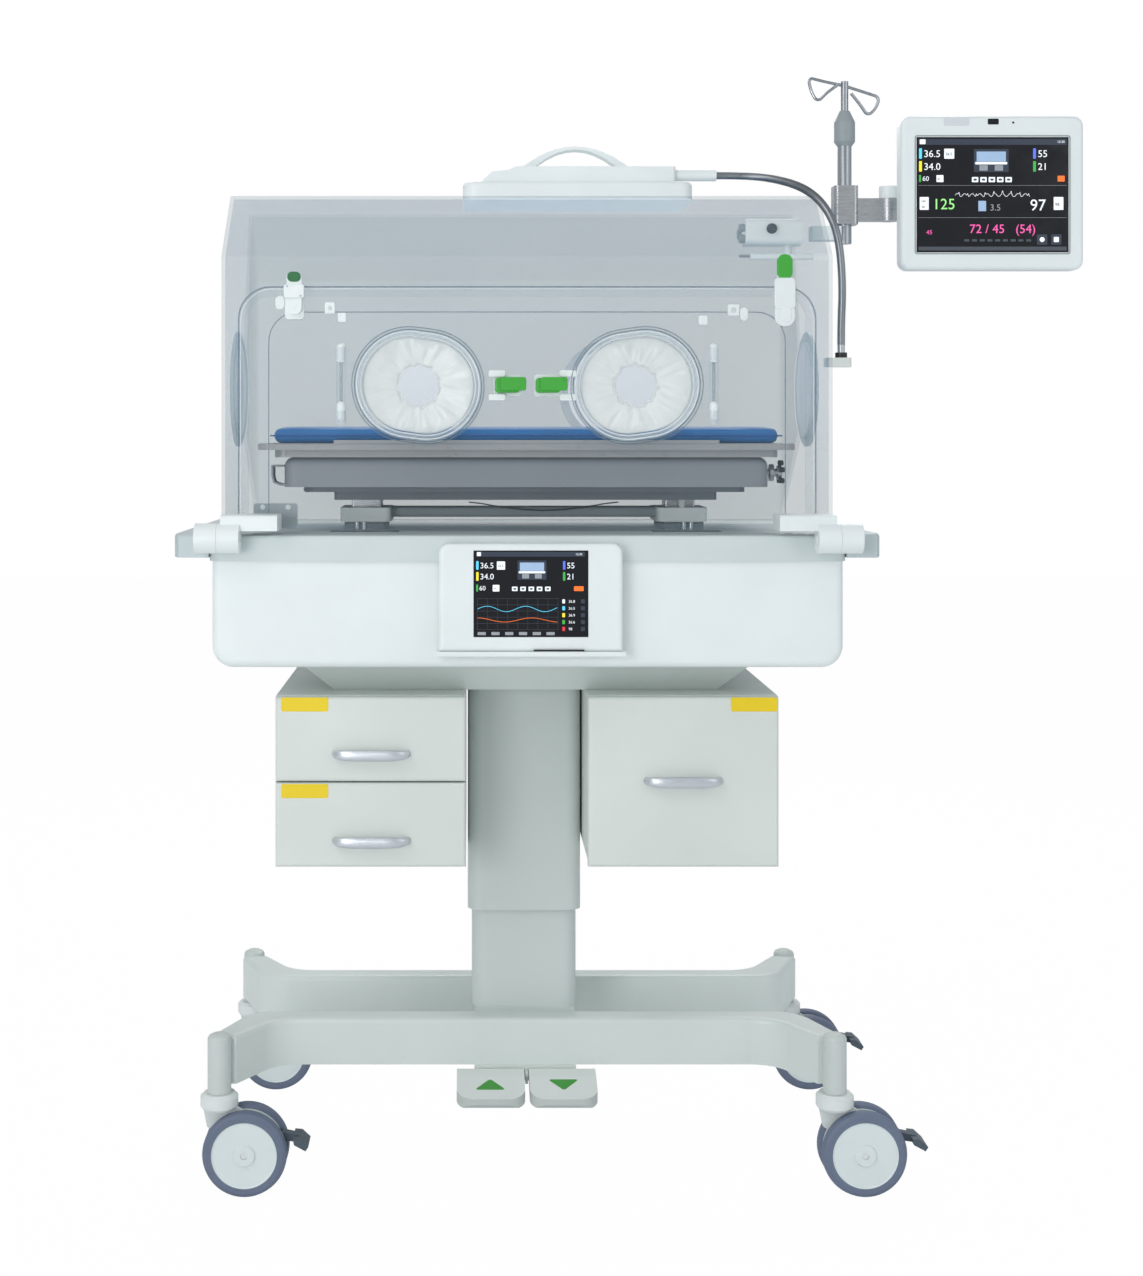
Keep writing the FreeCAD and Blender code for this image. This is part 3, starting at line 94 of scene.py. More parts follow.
class Shader:
    """A material's node tree with its Principled shader, and short ways to add to it."""

    def __init__(self, name):
        self.material = bpy.data.materials.new(name)
        self.material.use_nodes = True
        self.tree = self.material.node_tree
        self.main = self.tree.nodes["Principled BSDF"]

    def add(self, kind, **settings):
        node = self.tree.nodes.new("ShaderNode" + kind)
        for key, value in settings.items():
            if hasattr(node, key):
                setattr(node, key, value)
            else:
                node.inputs[key.replace("_", " ")].default_value = value
        return node

    def link(self, source, target):
        self.tree.links.new(source, target)

    def place(self):
        return self.add("TexCoord").outputs["Object"]

    def noise(self, scale, detail=3.0, stretch=None):
        node = self.add("TexNoise", Scale=scale, Detail=detail)
        vector = self.place()
        if stretch:
            mapping = self.add("Mapping")
            mapping.inputs["Scale"].default_value = stretch
            self.link(vector, mapping.inputs["Vector"])
            vector = mapping.outputs["Vector"]
        self.link(vector, node.inputs["Vector"])
        return node.outputs["Fac"]

    def ramp(self, value, low, high, start=0.3, end=0.7):
        node = self.add("MapRange")
        self.link(value, node.inputs["Value"])
        node.inputs["From Min"].default_value = start
        node.inputs["From Max"].default_value = end
        node.inputs["To Min"].default_value = low
        node.inputs["To Max"].default_value = high
        return node.outputs["Result"]

    def mix(self, factor, one, two):
        node = self.add("Mix", data_type="RGBA")
        colours = [s for s in node.inputs if s.type == "RGBA"]
        for socket, value in zip(colours, (one, two)):
            if isinstance(value, tuple):
                socket.default_value = value
            else:
                self.link(value, socket)
        self.link(factor, node.inputs["Factor"])
        return next(s for s in node.outputs if s.type == "RGBA")

    def bump(self, height, strength, distance=0.001):
        node = self.add("Bump", Strength=strength, Distance=distance)
        self.link(height, node.inputs["Height"])
        self.link(node.outputs["Normal"], self.main.inputs["Normal"])


def shade(colour, factor):
    return tuple(min(1.0, c * factor) for c in colour[:3]) + (1.0,)


def moulded(name, colour, roughness=0.38, grain=0.05, spots=0.035, scale=2600):
    """Moulded plastic or powder coat: a fine skin and slight unevenness of tone."""
    s = Shader(name)
    tone = s.ramp(s.noise(5.5, 4.0), 0.0, 1.0)
    s.link(s.mix(tone, shade(colour, 1 - spots), shade(colour, 1 + spots)), s.main.inputs["Base Color"])
    s.link(
        s.ramp(s.noise(40.0, 4.0), roughness - 0.05, roughness + 0.07), s.main.inputs["Roughness"]
    )
    s.bump(s.noise(scale, 2.0), grain)
    return s.material


def metal(name, colour, roughness=0.28, stretch=(1, 1, 40)):
    """Brushed metal whose brush marks run across the stretched axis."""
    s = Shader(name)
    s.main.inputs["Metallic"].default_value = 1.0
    marks = s.noise(60.0, 5.0, stretch)
    s.link(s.mix(s.ramp(marks, 0, 1), shade(colour, 0.86), colour), s.main.inputs["Base Color"])
    s.link(s.ramp(marks, roughness - 0.08, roughness + 0.12), s.main.inputs["Roughness"])
    s.bump(marks, 0.05)
    return s.material


def clear(name, tint, face=0.1, edge=0.55, roughness=0.08, haze=0.03):
    """Clear moulded sheet: light tint face on, denser where it is seen along its skin."""
    s = Shader(name)
    s.main.inputs["Roughness"].default_value = roughness
    cloud = s.ramp(s.noise(3.0, 3.0), 0.0, 1.0)
    s.link(s.mix(cloud, shade(tint, 0.96), shade(tint, 1.04)), s.main.inputs["Base Color"])
    facing = s.add("LayerWeight", Blend=0.35).outputs["Facing"]
    thin = s.ramp(facing, face, edge, 0.15, 0.95)
    veil = s.add("Math", operation="MULTIPLY_ADD")
    s.link(cloud, veil.inputs[0])
    veil.inputs[1].default_value = haze
    s.link(thin, veil.inputs[2])
    s.link(veil.outputs["Value"], s.main.inputs["Alpha"])
    s.material.surface_render_method = "BLENDED"
    return s.material


def glow(name, colour, strength=0.55):
    """A lit part of a screen; also painted light where the lamp housing's underside glows."""
    s = Shader(name)
    fade = s.ramp(s.noise(30.0, 2.0), 0.0, 1.0)
    tone = s.mix(fade, shade(colour, 0.93), colour)
    s.link(tone, s.main.inputs["Base Color"])
    s.link(tone, s.main.inputs["Emission Color"])
    s.main.inputs["Emission Strength"].default_value = strength
    s.main.inputs["Roughness"].default_value = 0.25
    return s.material


def woven(name, colour):
    """A smooth coated cover with a fine knit."""
    s = Shader(name)
    tone = s.ramp(s.noise(14.0, 4.0), 0.0, 1.0)
    s.link(s.mix(tone, shade(colour, 0.82), shade(colour, 1.12)), s.main.inputs["Base Color"])
    s.main.inputs["Roughness"].default_value = 0.6
    s.main.inputs["Sheen Weight"].default_value = 0.25
    knit = s.add("TexVoronoi", Scale=900.0)
    s.link(s.place(), knit.inputs["Vector"])
    s.bump(knit.outputs["Distance"], 0.25, 0.0006)
    return s.material


WHITE = moulded("white_moulding", srgb(232, 239, 239), 0.33)
BAND = moulded("pale_band", srgb(207, 217, 217), 0.4)
PAINT = moulded("pale_paint", srgb(212, 221, 217), 0.34, grain=0.03, scale=900)
COLUMN = moulded("column_paint", srgb(203, 212, 209), 0.34, grain=0.01, spots=0.012)
CABINET = moulded("cabinet_paint", srgb(216, 222, 217), 0.36, grain=0.03, scale=900)
CASTER = moulded("caster_body", srgb(222, 228, 226), 0.4)
POST = moulded("post_plastic", srgb(200, 208, 205), 0.42)
PEDAL = moulded("pedal_plastic", srgb(223, 229, 226), 0.45)
# painted shade: a darkened copy of the pedal colour for the pedals' sides
PEDAL_SIDE_SHADE = moulded("pedal_side_painted_shade", srgb(186, 194, 190), 0.5)
RAIL = moulded("rail_plastic", srgb(150, 160, 164), 0.45, grain=0.1)
GRIP = moulded("push_handle", srgb(194, 206, 208), 0.4)
HOSE = metal("hose_metal", srgb(150, 155, 160), 0.34, (1, 1, 1))
# the support blocks' own pale grey, lifted near white as painted light to make up for the shade under the
# trays
BLOCK_GREY_AND_PAINTED_LIGHT = moulded("support_block_grey_painted_light", srgb(234, 242, 242), 0.42)
TRAY = moulded("tray_grey", srgb(126, 131, 137), 0.42)
# painted shade: a darkened copy of the tray grey, used on the bed frame, the support feet and undersides, and
# the deck patches by the blocks
TRAY_PAINTED_SHADE = moulded("tray_painted_shade", srgb(96, 101, 107), 0.5)
SMOKED = moulded("tray_smoked", srgb(148, 150, 152), 0.3)
TYRE = moulded("tyre", srgb(104, 115, 137), 0.62, grain=0.2, spots=0.08)
DISC = moulded("wheel_disc", srgb(219, 228, 228), 0.45)
BRAKE = moulded("brake_plastic", srgb(74, 86, 96), 0.5, grain=0.12)
GREEN = moulded("green_plastic", srgb(66, 170, 60), 0.3)
# painted shade: a darkened copy of the green plastic for the left latch's tab, shaded behind the acrylic
GREEN_PAINTED_SHADE = moulded("green_painted_shade", srgb(34, 110, 60), 0.35)
ARROW = moulded("arrow_green", srgb(60, 152, 52), 0.4)
YELLOW = moulded("yellow_plate", srgb(238, 208, 22), 0.45)
BLACK = moulded("black_plastic", srgb(28, 30, 34), 0.4)
GLASS = moulded("screen_black", srgb(12, 15, 22), 0.12, grain=0.0, spots=0.2)
STEEL = metal("steel", srgb(196, 199, 202))
POLE = metal("pole_steel", srgb(180, 185, 190), 0.24, (1, 1, 0.05))
ALU = metal("handle_metal", srgb(222, 226, 232), 0.38, (1, 40, 40))
MATTRESS = woven("blue_cover", srgb(0, 106, 174))
HOOD = clear("hood_acrylic", srgb(150, 176, 188), 0.07, 0.34)
HOOD_BACK = clear("hood_back_acrylic", srgb(98, 136, 144), 0.3, 0.45)
DOOR = clear("door_acrylic", srgb(160, 184, 196), 0.03, 0.3)
RIM = clear("rim_acrylic", srgb(214, 226, 232), 0.3, 0.8)
# painted shade: dark lines drawn along the clear mouldings' edges
EDGE_SHADE_LINE = clear("acrylic_edge_painted_shade", srgb(112, 134, 150), 0.55, 0.8)
# painted highlight: bright lines drawn along the clear mouldings' rims and edges
PAINTED_GLINT = clear("acrylic_painted_glint", srgb(238, 244, 247), 0.7, 0.9)
FILM = clear("cuff_film", srgb(244, 247, 244), 0.42, 0.98, 0.25, 0.3)
FILM_HEM = clear("cuff_hem", srgb(236, 240, 238), 0.6, 0.95, 0.3, 0.1)
# painted light: the lamp housing's underside glows to stand in for light falling on it; it is not a lit lamp
UNDERSIDE_PAINTED_LIGHT = glow("lamp_underside_painted_light", srgb(222, 230, 234), 0.6)
SEAM = moulded("cover_seam", srgb(8, 72, 145), 0.6)
LAMP = moulded("alarm_lamp", srgb(216, 222, 226), 0.2)
UI_WHITE = glow("ui_white", srgb(225, 230, 235))
UI_TILE = glow("ui_tile", srgb(50, 58, 72), 0.3)
UI_DIM = glow("ui_dim", srgb(70, 76, 84), 0.3)
UI_GREY = glow("ui_grey", srgb(140, 146, 152), 0.4)
UI_PALE = glow("ui_pale", srgb(150, 175, 205), 0.4)
UI_CYAN = glow("ui_cyan", srgb(90, 200, 235))
UI_YELLOW = glow("ui_yellow", srgb(235, 215, 50))
UI_GREEN = glow("ui_green", srgb(60, 160, 70))
UI_LIME = glow("ui_lime", srgb(150, 225, 130))
UI_BLUE = glow("ui_blue", srgb(90, 110, 220))
UI_ORANGE = glow("ui_orange", srgb(235, 110, 40))
UI_RED = glow("ui_red", srgb(215, 50, 60))
UI_PINK = glow("ui_pink", srgb(235, 90, 165))


def dress(node, *materials, pick=None):
    """Gives a node its materials; pick(centre, normal) chooses one for each face."""
    mesh = NODES[node].data
    mesh.materials.clear()
    for material in materials:
        mesh.materials.append(material)
    smooth_faces(mesh)
    for polygon in mesh.polygons:
        polygon.material_index = pick(polygon.center, polygon.normal) if pick else 0


CORNERS = ("fl", "fr", "rl", "rr")
DISC_RADIUS = 0.049
PEDAL_RIM = 0.012  # how far down a pedal's side the top's colour reaches before the sides' painted shade begins


def dress_stand():
    for node in ("cross_beams", "base_bridge", "column_head"):
        dress(node, PAINT)
    for node in ("inner_column", "outer_column"):
        dress(node, COLUMN)
    dress("caster_posts", POST)
    for pedal in ("pedal_up", "pedal_down"):
        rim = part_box(pedal)[1][2] - PEDAL_RIM
        # tops take the pedal colour, the sides the darkened copy as painted shade
        dress(pedal, PEDAL, PEDAL_SIDE_SHADE, pick=lambda c, n: 0 if n.z > 0.5 or c.z > rim else 1)
    for corner in CORNERS:
        low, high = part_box("caster_wheels_" + corner)
        axle = (low + high) / 2

        def wheel_face(c, n):
            """0 tyre, 1 disc."""
            return int(math.hypot(c.x - axle.x, c.z - axle.z) < DISC_RADIUS and abs(n.y) > 0.2)

        dress("caster_fork_" + corner, CASTER)
        dress("caster_wheels_" + corner, TYRE, DISC, pick=wheel_face)
        dress("caster_brake_" + corner, BRAKE)


DRAWERS = ("upper", "lower", "right")
PANEL_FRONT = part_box("panel_housing")[0][1]
PANEL_GLASS_HALF = 0.079
PANEL_GLASS_LOW, PANEL_GLASS_TOP = 0.833, 0.956
PANEL_GLASS_FRONT, PANEL_GLASS_BACK = 0.002, 0.008  # behind the housing's front
LAMP_UNDERSIDE = 1.4945
# below this height the support's foot is painted as the shadow gap under the block
FOOT_TOP = 0.9879
CROSS_BAR_HALF = 0.209
FACES_DOWN = -0.9


def dress_carriage():
    for node in ("body_shell", "hinge_brackets", "front_door_arms", "sensor_module"):
        dress(node, WHITE)
    dress("deck", BAND)
    dress("panel_housing", WHITE, GLASS, pick=panel_face)
    dress("drawer_cabinets", CABINET)
    for word in DRAWERS:
        dress("drawer_" + word, CABINET)
        drawer_bow(word)
    dress("push_handles", GRIP)
    dress("bed_supports", BLOCK_GREY_AND_PAINTED_LIGHT, RAIL, TRAY_PAINTED_SHADE, pick=support_face)
    # the housing's downward faces below the underside height get the painted light glow
    dress("lamp_housing", WHITE, UNDERSIDE_PAINTED_LIGHT, pick=lambda c, n: int(n.z < FACES_DOWN and c.z < LAMP_UNDERSIDE))


def panel_face(c, n):
    """0 housing, 1 screen glass."""
    depth = c.y - PANEL_FRONT
    on_glass = abs(c.x) < PANEL_GLASS_HALF and PANEL_GLASS_LOW < c.z < PANEL_GLASS_TOP
    return int(on_glass and PANEL_GLASS_FRONT < depth < PANEL_GLASS_BACK)


def support_face(c, n):
    """0 block, 1 cross bar, 2 painted shadow: the foot below the block and the faces that look down."""
    # the foot and the downward faces take the painted shade
    if c.z < FOOT_TOP or n.z < FACES_DOWN:
        return 2
    return int(abs(c.x) < CROSS_BAR_HALF)


SIDES = ((-1, "left"), (1, "right"))
HOOD_REAR = 0.1  # the hood's wall behind this depth is seen through the front
CLIP_LEFT, CLIP_BACK = 0.4605, -0.1
CLIP_TOP, NUT_TOP = 1.2425, 1.2495
CATCH_HALF = 0.055
LATCH_LOW = 1.29


def dress_hood():
    dress("hood_shell", HOOD, HOOD_BACK, pick=lambda c, n: int(c.y > HOOD_REAR))
    dress("front_door", DOOR)
    for node in ("hood_shell", "front_door", "port_door_left", "port_door_right"):
        NODES[node].visible_shadow = False
        NODES[node].visible_diffuse = False
    dress("hood_fittings", RIM, BLACK, STEEL, CABINET, pick=hose_clip_face)
    dress("door_fittings", RIM, WHITE, pick=fitting_face)
    for _, word in SIDES:
        dress("port_door_" + word, DOOR)
        dress("port_catch_" + word, GREEN)
        dress("door_latch_" + word, WHITE)
        dress("bed_lift_" + word, STEEL)
    # the bed frame takes the tray grey's painted-shade copy
    dress("bed_frame", TRAY_PAINTED_SHADE)
    dress("xray_tray", TRAY)
    dress("mattress_tray", SMOKED)


def hose_clip_face(c, n):
    """0 port cover, 1 nut, 2 ferrule, 3 clip."""
    if c.x < CLIP_LEFT or c.y > CLIP_BACK:
        return 0
    if c.z > NUT_TOP:
        return 2
    return 1 if c.z > CLIP_TOP else 3


def fitting_face(c, n):
    """0 clear rim, 1 white moulding."""
    return int(abs(c.x) < CATCH_HALF or c.z > LATCH_LOW)


GRIP_LOW = 1.5825
BRACKET_TOP = 1.4552
BRACKET_WALL, BRACKET_RIGHT = 0.4985, 0.5045
MONITOR_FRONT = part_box("monitor_housing")[0][1]
MONITOR_GLASS = ((0.607, 0.845), (1.407, 1.588))
MONITOR_GLASS_DEPTH = 0.003


def pole_face(c, n):
    """0 steel tube, 1 grip, 2 white bracket."""
    if c.z > GRIP_LOW:
        return 1
    flat = max(abs(n.x), abs(n.y), abs(n.z)) > 0.995
    beside_tube = flat and c.z < BRACKET_TOP and c.x < BRACKET_RIGHT
    return int(c.x < BRACKET_WALL or beside_tube) * 2


def monitor_face(c, n):
    """0 housing, 1 screen glass."""
    (left, right), (low, top) = MONITOR_GLASS
    return int(left < c.x < right and low < c.z < top and c.y < MONITOR_FRONT + MONITOR_GLASS_DEPTH)


def dress_pole():
    dress("iv_pole", POLE, RAIL, WHITE, pick=pole_face)
    dress("iv_hook", POLE)
    dress("monitor_arm_inner", STEEL)
    dress("monitor_arm_outer", WHITE)
    dress("monitor_housing", WHITE, GLASS, pick=monitor_face)


# Pieces


def add_piece(name, data, materials, body):
    """Puts a mesh or curve in the scene as a piece that rides on a body."""
    for material in materials:
        data.materials.append(material)
    obj = new_object(name, data)
    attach(obj, body)
    return obj


def smooth_faces(mesh, smooth=True):
    for polygon in mesh.polygons:
        polygon.use_smooth = smooth


def mesh_from(bm, name):
    """Turns a bmesh into a mesh and frees it."""
    mesh = bpy.data.meshes.new(name)
    bm.to_mesh(mesh)
    bm.free()
    return mesh


def add_mesh(name, vertices, faces, material, body, smooth=True):
    mesh = bpy.data.meshes.new(name)
    mesh.from_pydata([tuple(v) for v in vertices], [], faces)
    mesh.update()
    smooth_faces(mesh, smooth)
    return add_piece(name, mesh, [material], body)


def ring_faces(rings, sides):
    """The skin between neighbouring rings of vertices, each ring closed on itself."""
    faces = []
    for ring in range(rings - 1):
        for n in range(sides):
            a, b = ring * sides + n, ring * sides + (n + 1) % sides
            faces.append((a, b, b + sides, a + sides))
    return faces


def tube_faces(rings, sides):
    """The skin of a row of rings, with both ends closed."""
    last = (rings - 1) * sides
    return ring_faces(rings, sides) + [tuple(reversed(range(sides))), tuple(range(last, last + sides))]


def nurbs(name, points, order=3, closed=False):
    """A NURBS curve whose control points are given in mm."""
    curve = bpy.data.curves.new(name, "CURVE")
    curve.dimensions = "3D"
    spline = curve.splines.new("NURBS")
    spline.points.add(len(points) - 1)
    for point, place in zip(spline.points, points):
        point.co = (*mm(*place), 1)
    spline.order_u = order
    spline.use_endpoint_u = not closed
    spline.use_cyclic_u = closed
    return curve


def rounded_path(width, height, radius, steps=5):
    """A rounded rectangle about the origin, as (u, v) pairs."""
    points = []
    radius = min(radius, width / 2, height / 2)
    for quarter, (sx, sy) in enumerate(((1, 1), (-1, 1), (-1, -1), (1, -1))):
        cx, cy = sx * (width / 2 - radius), sy * (height / 2 - radius)
        for step in range(steps + 1):
            angle = math.pi / 2 * (quarter + step / steps)
            points.append((cx + radius * math.cos(angle), cy + radius * math.sin(angle)))
    return points


def plate(name, centre, size, material, body, radius=2, depth=2, edge=0.5, normal="y"):
    """A rounded plate with a soft edge, in mm; its back lies at centre and it stands towards -Y or +Z."""
    cx, cy, cz = centre
    rings = [(0, 0), (depth - edge, 0), (depth - edge * 0.3, edge * 0.35), (depth, edge)]
    vertices = []
    for rise, inset in rings:
        for u, v in rounded_path(size[0] - 2 * inset, size[1] - 2 * inset, max(radius - inset, 0.2)):
            if normal == "y":
                vertices.append(mm(cx + u, cy - rise, cz + v))
            else:
                vertices.append(mm(cx + u, cy + v, cz + rise))
    sides = len(vertices) // len(rings)
    return add_mesh(name, vertices, tube_faces(len(rings), sides), material, body, smooth=False)


def lathe(name, base, profile, material, body, axis="z", steps=32):
    """A turned piece; its profile is (radius, height) pairs in mm from a base point."""
    vertices = []
    turn = {
        "z": Matrix.Identity(3),
        "x": Matrix.Rotation(math.radians(90), 3, "Y"),
        "-y": Matrix.Rotation(math.radians(90), 3, "X"),
    }[axis]
    for radius, height in profile:
        for n in range(steps):
            angle = 2 * math.pi * n / steps
            local = Vector((radius * math.cos(angle), radius * math.sin(angle), height))
            vertices.append((turn @ local + Vector(base)) * MM)
    obj = add_mesh(name, vertices, tube_faces(len(profile), steps), material, body)
    obj.data.set_sharp_from_angle(angle=math.radians(35))
    return obj


def wire(name, points, radius, material, body, closed=False, order=3):
    """A round bar, rod or cable along a smooth curve; points and radius in mm."""
    curve = nurbs(name, points, order, closed)
    curve.bevel_depth = radius * MM
    curve.bevel_resolution = 4
    curve.use_fill_caps = True
    return add_piece(name, curve, [material], body)


# The lamp's hose

HOSE_ROUTE = [
    (303, -60, 1534),
    (345, -60, 1534),
    (388, -76, 1528),
    (424, -112, 1512),
    (446, -146, 1490),
    (462, -165, 1463),
    (472, -173, 1434),
    (478, -175, 1394),
    (481, -172, 1342),
    (480, -166, 1296),
    (480, -166, 1262),
]
HOSE_RADIUS = 6.5
HOSE_GROOVE = 1.3  # how deep the hose narrows between its ribs
HOSE_RIB = 3.4


def route_samples(points, step):
    """Points about a step apart, in metres, along a route's smooth line."""
    curve = nurbs("route", points)
    curve.resolution_u = 24
    holder = bpy.data.objects.new("route", curve)
    mesh = bpy.data.meshes.new_from_object(holder)
    line = [v.co.copy() for v in mesh.vertices]
    bpy.data.objects.remove(holder)
    total = sum((b - a).length for a, b in zip(line, line[1:]))
    count = max(8, round(total / step))
    places, target, walked = [line[0]], total / count, 0.0
    for a, b in zip(line, line[1:]):
        length = (b - a).length
        while walked + length >= target * len(places) - 1e-9 and len(places) < count:
            share = (target * len(places) - walked) / length
            places.append(a.lerp(b, share))
        walked += length
    places.append(line[-1])
    return places


def hose():
    """The flexible metal hose: a row of rounded rings along its route."""
    path = route_samples(HOSE_ROUTE, HOSE_RIB * MM / 2)
    sides = 16
    vertices = []
    previous = Vector((0, 0, 1))
    for n, point in enumerate(path):
        ahead = path[min(n + 1, len(path) - 1)] - path[max(n - 1, 0)]
        ahead.normalize()
        across = previous - ahead * previous.dot(ahead)
        across.normalize()
        previous = across
        up = ahead.cross(across)
        radius = (HOSE_RADIUS if n % 2 else HOSE_RADIUS - HOSE_GROOVE) * MM
        for side in range(sides):
            angle = 2 * math.pi * side / sides
            vertices.append(point + radius * (math.cos(angle) * across + math.sin(angle) * up))
    faces = tube_faces(len(path), sides)
    piece = add_mesh("gooseneck_hose", vertices, faces, HOSE, "carriage")
    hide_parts("gooseneck")


# Soft parts

PORT_X, PORT_Z = 162, 1198
PORT_FLAT, PORT_RADIUS = 13, 71
PORT_TILT = math.radians(8)
DOOR_FACE = -234.8
HEM_RADIUS = 32.5
HEM_DEPTH = -222.6
CUFF_FRONT, CUFF_BACK = -234.1, -220.6
CUFF_FOLDS = {5: 1.0, 7: 0.9, 9: 0.8, 13: 0.75, 17: 0.6, 23: 0.45, 31: 0.35, 43: 0.22}
FILM_THICKNESS = 0.0004


def port_radius(angle, grow):
    """Distance from a port's middle to its oval edge, in mm."""
    radius = PORT_RADIUS + grow
    across, up = abs(math.cos(angle)), abs(math.sin(angle))
    if up > 1e-6 and radius / up * across <= PORT_FLAT:
        return radius / up
    return PORT_FLAT * across + math.sqrt(radius**2 - (PORT_FLAT * up) ** 2)


def port_place(hand, angle, radius, y):
    """A point of one port's tilted oval, in mm."""
    u, v = radius * math.cos(angle), radius * math.sin(angle)
    turn = -hand * PORT_TILT
    return (
        hand * PORT_X + u * math.cos(turn) + v * math.sin(turn),
        y,
        PORT_Z - u * math.sin(turn) + v * math.cos(turn),
    )


def hem_ripple(angle, phase):
    """How far the elastic hem wanders from its circle."""
    return 1.3 * math.sin(11 * angle + phase) + 0.9 * math.sin(19 * angle)


def cuff(hand, word):
    """A thin film gathered from the port's rim to an elastic hem round the hand hole."""
    around, rings = 168, 18
    folds = [
        (count, weight, random.uniform(0, 6.28), random.uniform(-1.6, 1.6))
        for count, weight in CUFF_FOLDS.items()
    ]
    phase = folds[0][2]
    vertices = []
    for ring in range(rings + 1):
        t = ring / rings
        for n in range(around):
            angle = 2 * math.pi * n / around
            crease = sum(
                weight * (1 - 2 * abs(math.sin((count * angle + start + twist * 2.2 * t) / 2)))
                for count, weight, start, twist in folds
            )
            outer = port_radius(angle, -1.0)
            hem = HEM_RADIUS + hem_ripple(angle, phase)
            radius = outer + (hem - outer) * t
            rise = math.sin(math.pi * min(t * 1.08, 1.0)) ** 0.6
            y = -233.6 + 10.2 * t**1.2 + 1.15 * crease * rise
            y = max(CUFF_FRONT, min(CUFF_BACK, y))
            vertices.append(mm(*port_place(hand, angle, radius, y)))
    faces = ring_faces(rings + 1, around)
    film = add_mesh("cuff_film_" + word, vertices, faces, FILM, "front_door")
    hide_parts("port_cuffs")
    thick = film.modifiers.new("thickness", "SOLIDIFY")
    thick.thickness = FILM_THICKNESS
    thick.offset = 0
    hem_points = []
    for n in range(72):
        angle = 2 * math.pi * n / 72
        radius = HEM_RADIUS - 0.9 + hem_ripple(angle, phase)
        hem_points.append(port_place(hand, angle, radius, HEM_DEPTH + 0.7 * math.sin(7 * angle)))
    wire("cuff_hem_" + word, hem_points, 1.3, FILM_HEM, "front_door", closed=True)


PAD_SHORTFALL = mm(6, 6, 5)  # how much smaller the pad is before it swells
PAD_CORNER, PAD_RIM = 0.016, 0.004
PAD_VOXEL = 0.0055
SWELL_FRAMES = 20
SWELL_LIMIT = 0.004
CROWN = 0.002
SEAM_Z = 1123.5


def mattress():
    """A foam pad in a welded cover: swollen from a slightly smaller block, with a seam round it."""
    low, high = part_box("mattress")
    bm = bmesh.new()
    bmesh.ops.create_cube(bm, size=1)
    bmesh.ops.scale(bm, vec=high - low - PAD_SHORTFALL, verts=bm.verts)
    bmesh.ops.translate(bm, vec=(low + high) / 2, verts=bm.verts)
    upright = [e for e in bm.edges if abs((e.verts[0].co - e.verts[1].co).z) > 0.01]
    bmesh.ops.bevel(bm, geom=upright, offset=PAD_CORNER, segments=6, affect="EDGES", profile=0.5)
    rims = [e for e in bm.edges if abs(e.verts[0].co.z - e.verts[1].co.z) < 1e-6]
    bmesh.ops.bevel(bm, geom=rims, offset=PAD_RIM, segments=3, affect="EDGES", profile=0.5)
    bmesh.ops.recalc_face_normals(bm, faces=bm.faces)
    pad = add_piece("mattress_pad", mesh_from(bm, "mattress_pad"), [MATTRESS], "bed")
    even = pad.modifiers.new("even", "REMESH")
    even.mode = "VOXEL"
    even.voxel_size = PAD_VOXEL
    apply_modifiers(pad)
    swell(pad)
    for vertex in pad.data.vertices:
        co = vertex.co
        co.x = max(low.x, min(high.x, co.x))
        co.y = max(low.y, min(high.y, co.y))
        co.z = max(low.z, min(high.z + CROWN, co.z))
    smooth_faces(pad.data)
    smooth = pad.modifiers.new("smooth", "SMOOTH")
    smooth.iterations = 3
    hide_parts("mattress")
    half_width, half_depth = high.x / MM - 1, high.y / MM - 1
    seam = [(x, y, SEAM_Z) for x, y in rounded_path(2 * half_width, 2 * half_depth, 18, 8)]
    wire("mattress_seam", seam, 1.1, SEAM, "bed", closed=True)


def swell(pad):
    """Blows the pad up as cloth under pressure, with no point moved past the limit."""
    before = [v.co.copy() for v in pad.data.vertices]
    cloth = pad.modifiers.new("cloth", "CLOTH")
    cloth.settings.use_pressure = True
    cloth.settings.uniform_pressure_force = 4
    cloth.settings.effector_weights.gravity = 0
    cloth.settings.quality = 4
    cloth.point_cache.frame_start = 1
    cloth.point_cache.frame_end = SWELL_FRAMES
    for step in range(1, SWELL_FRAMES + 1):
        scene.frame_set(step)
    apply_modifiers(pad)
    scene.frame_set(1)
    for vertex, start in zip(pad.data.vertices, before):
        move = vertex.co - start
        if move.length > SWELL_LIMIT:
            vertex.co = start + move.normalized() * SWELL_LIMIT


def apply_modifiers(obj):
    graph = bpy.context.evaluated_depsgraph_get()
    mesh = bpy.data.meshes.new_from_object(obj.evaluated_get(graph), depsgraph=graph)
    obj.modifiers.clear()
    obj.data = mesh


def drawer_bow(word):
    """A drawer's bow handle: a rounded flat bar whose ends turn in and narrow."""
    low, high = (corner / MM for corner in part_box("drawer_handle_" + word))
    middle, half = (low + high) / 2, (high.x - low.x) / 2
    reach = high.y - low.y - 3.2
    vertices = []
    steps, sides = 40, 16
    for n in range(steps + 1):
        t = -1 + 2 * n / steps
        out = (1 - abs(t) ** 5) ** 0.5
        slope = -2.5 * abs(t) ** 4 * math.copysign(1, t) / max(out, 0.12) * reach / half
        along = Vector((1, -slope)).normalized()
        normal = Vector((along.y, -along.x))
        place = Vector((middle.x + t * (half - 3), high.y - reach * out))
        tall = 8.4 - 3.2 * abs(t) ** 4
        for side in range(sides):
            angle = 2 * math.pi * side / sides
            flat = normal * 3.1 * math.cos(angle)
            vertices.append(mm(place.x + flat.x, place.y + flat.y, middle.z + tall * math.sin(angle)))
    faces = tube_faces(steps + 1, sides)
    bow = add_mesh("handle_bow_" + word, vertices, faces, ALU, "drawer_" + word)
    fix_normals(bow)
    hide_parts("drawer_handle_" + word)


# Screens


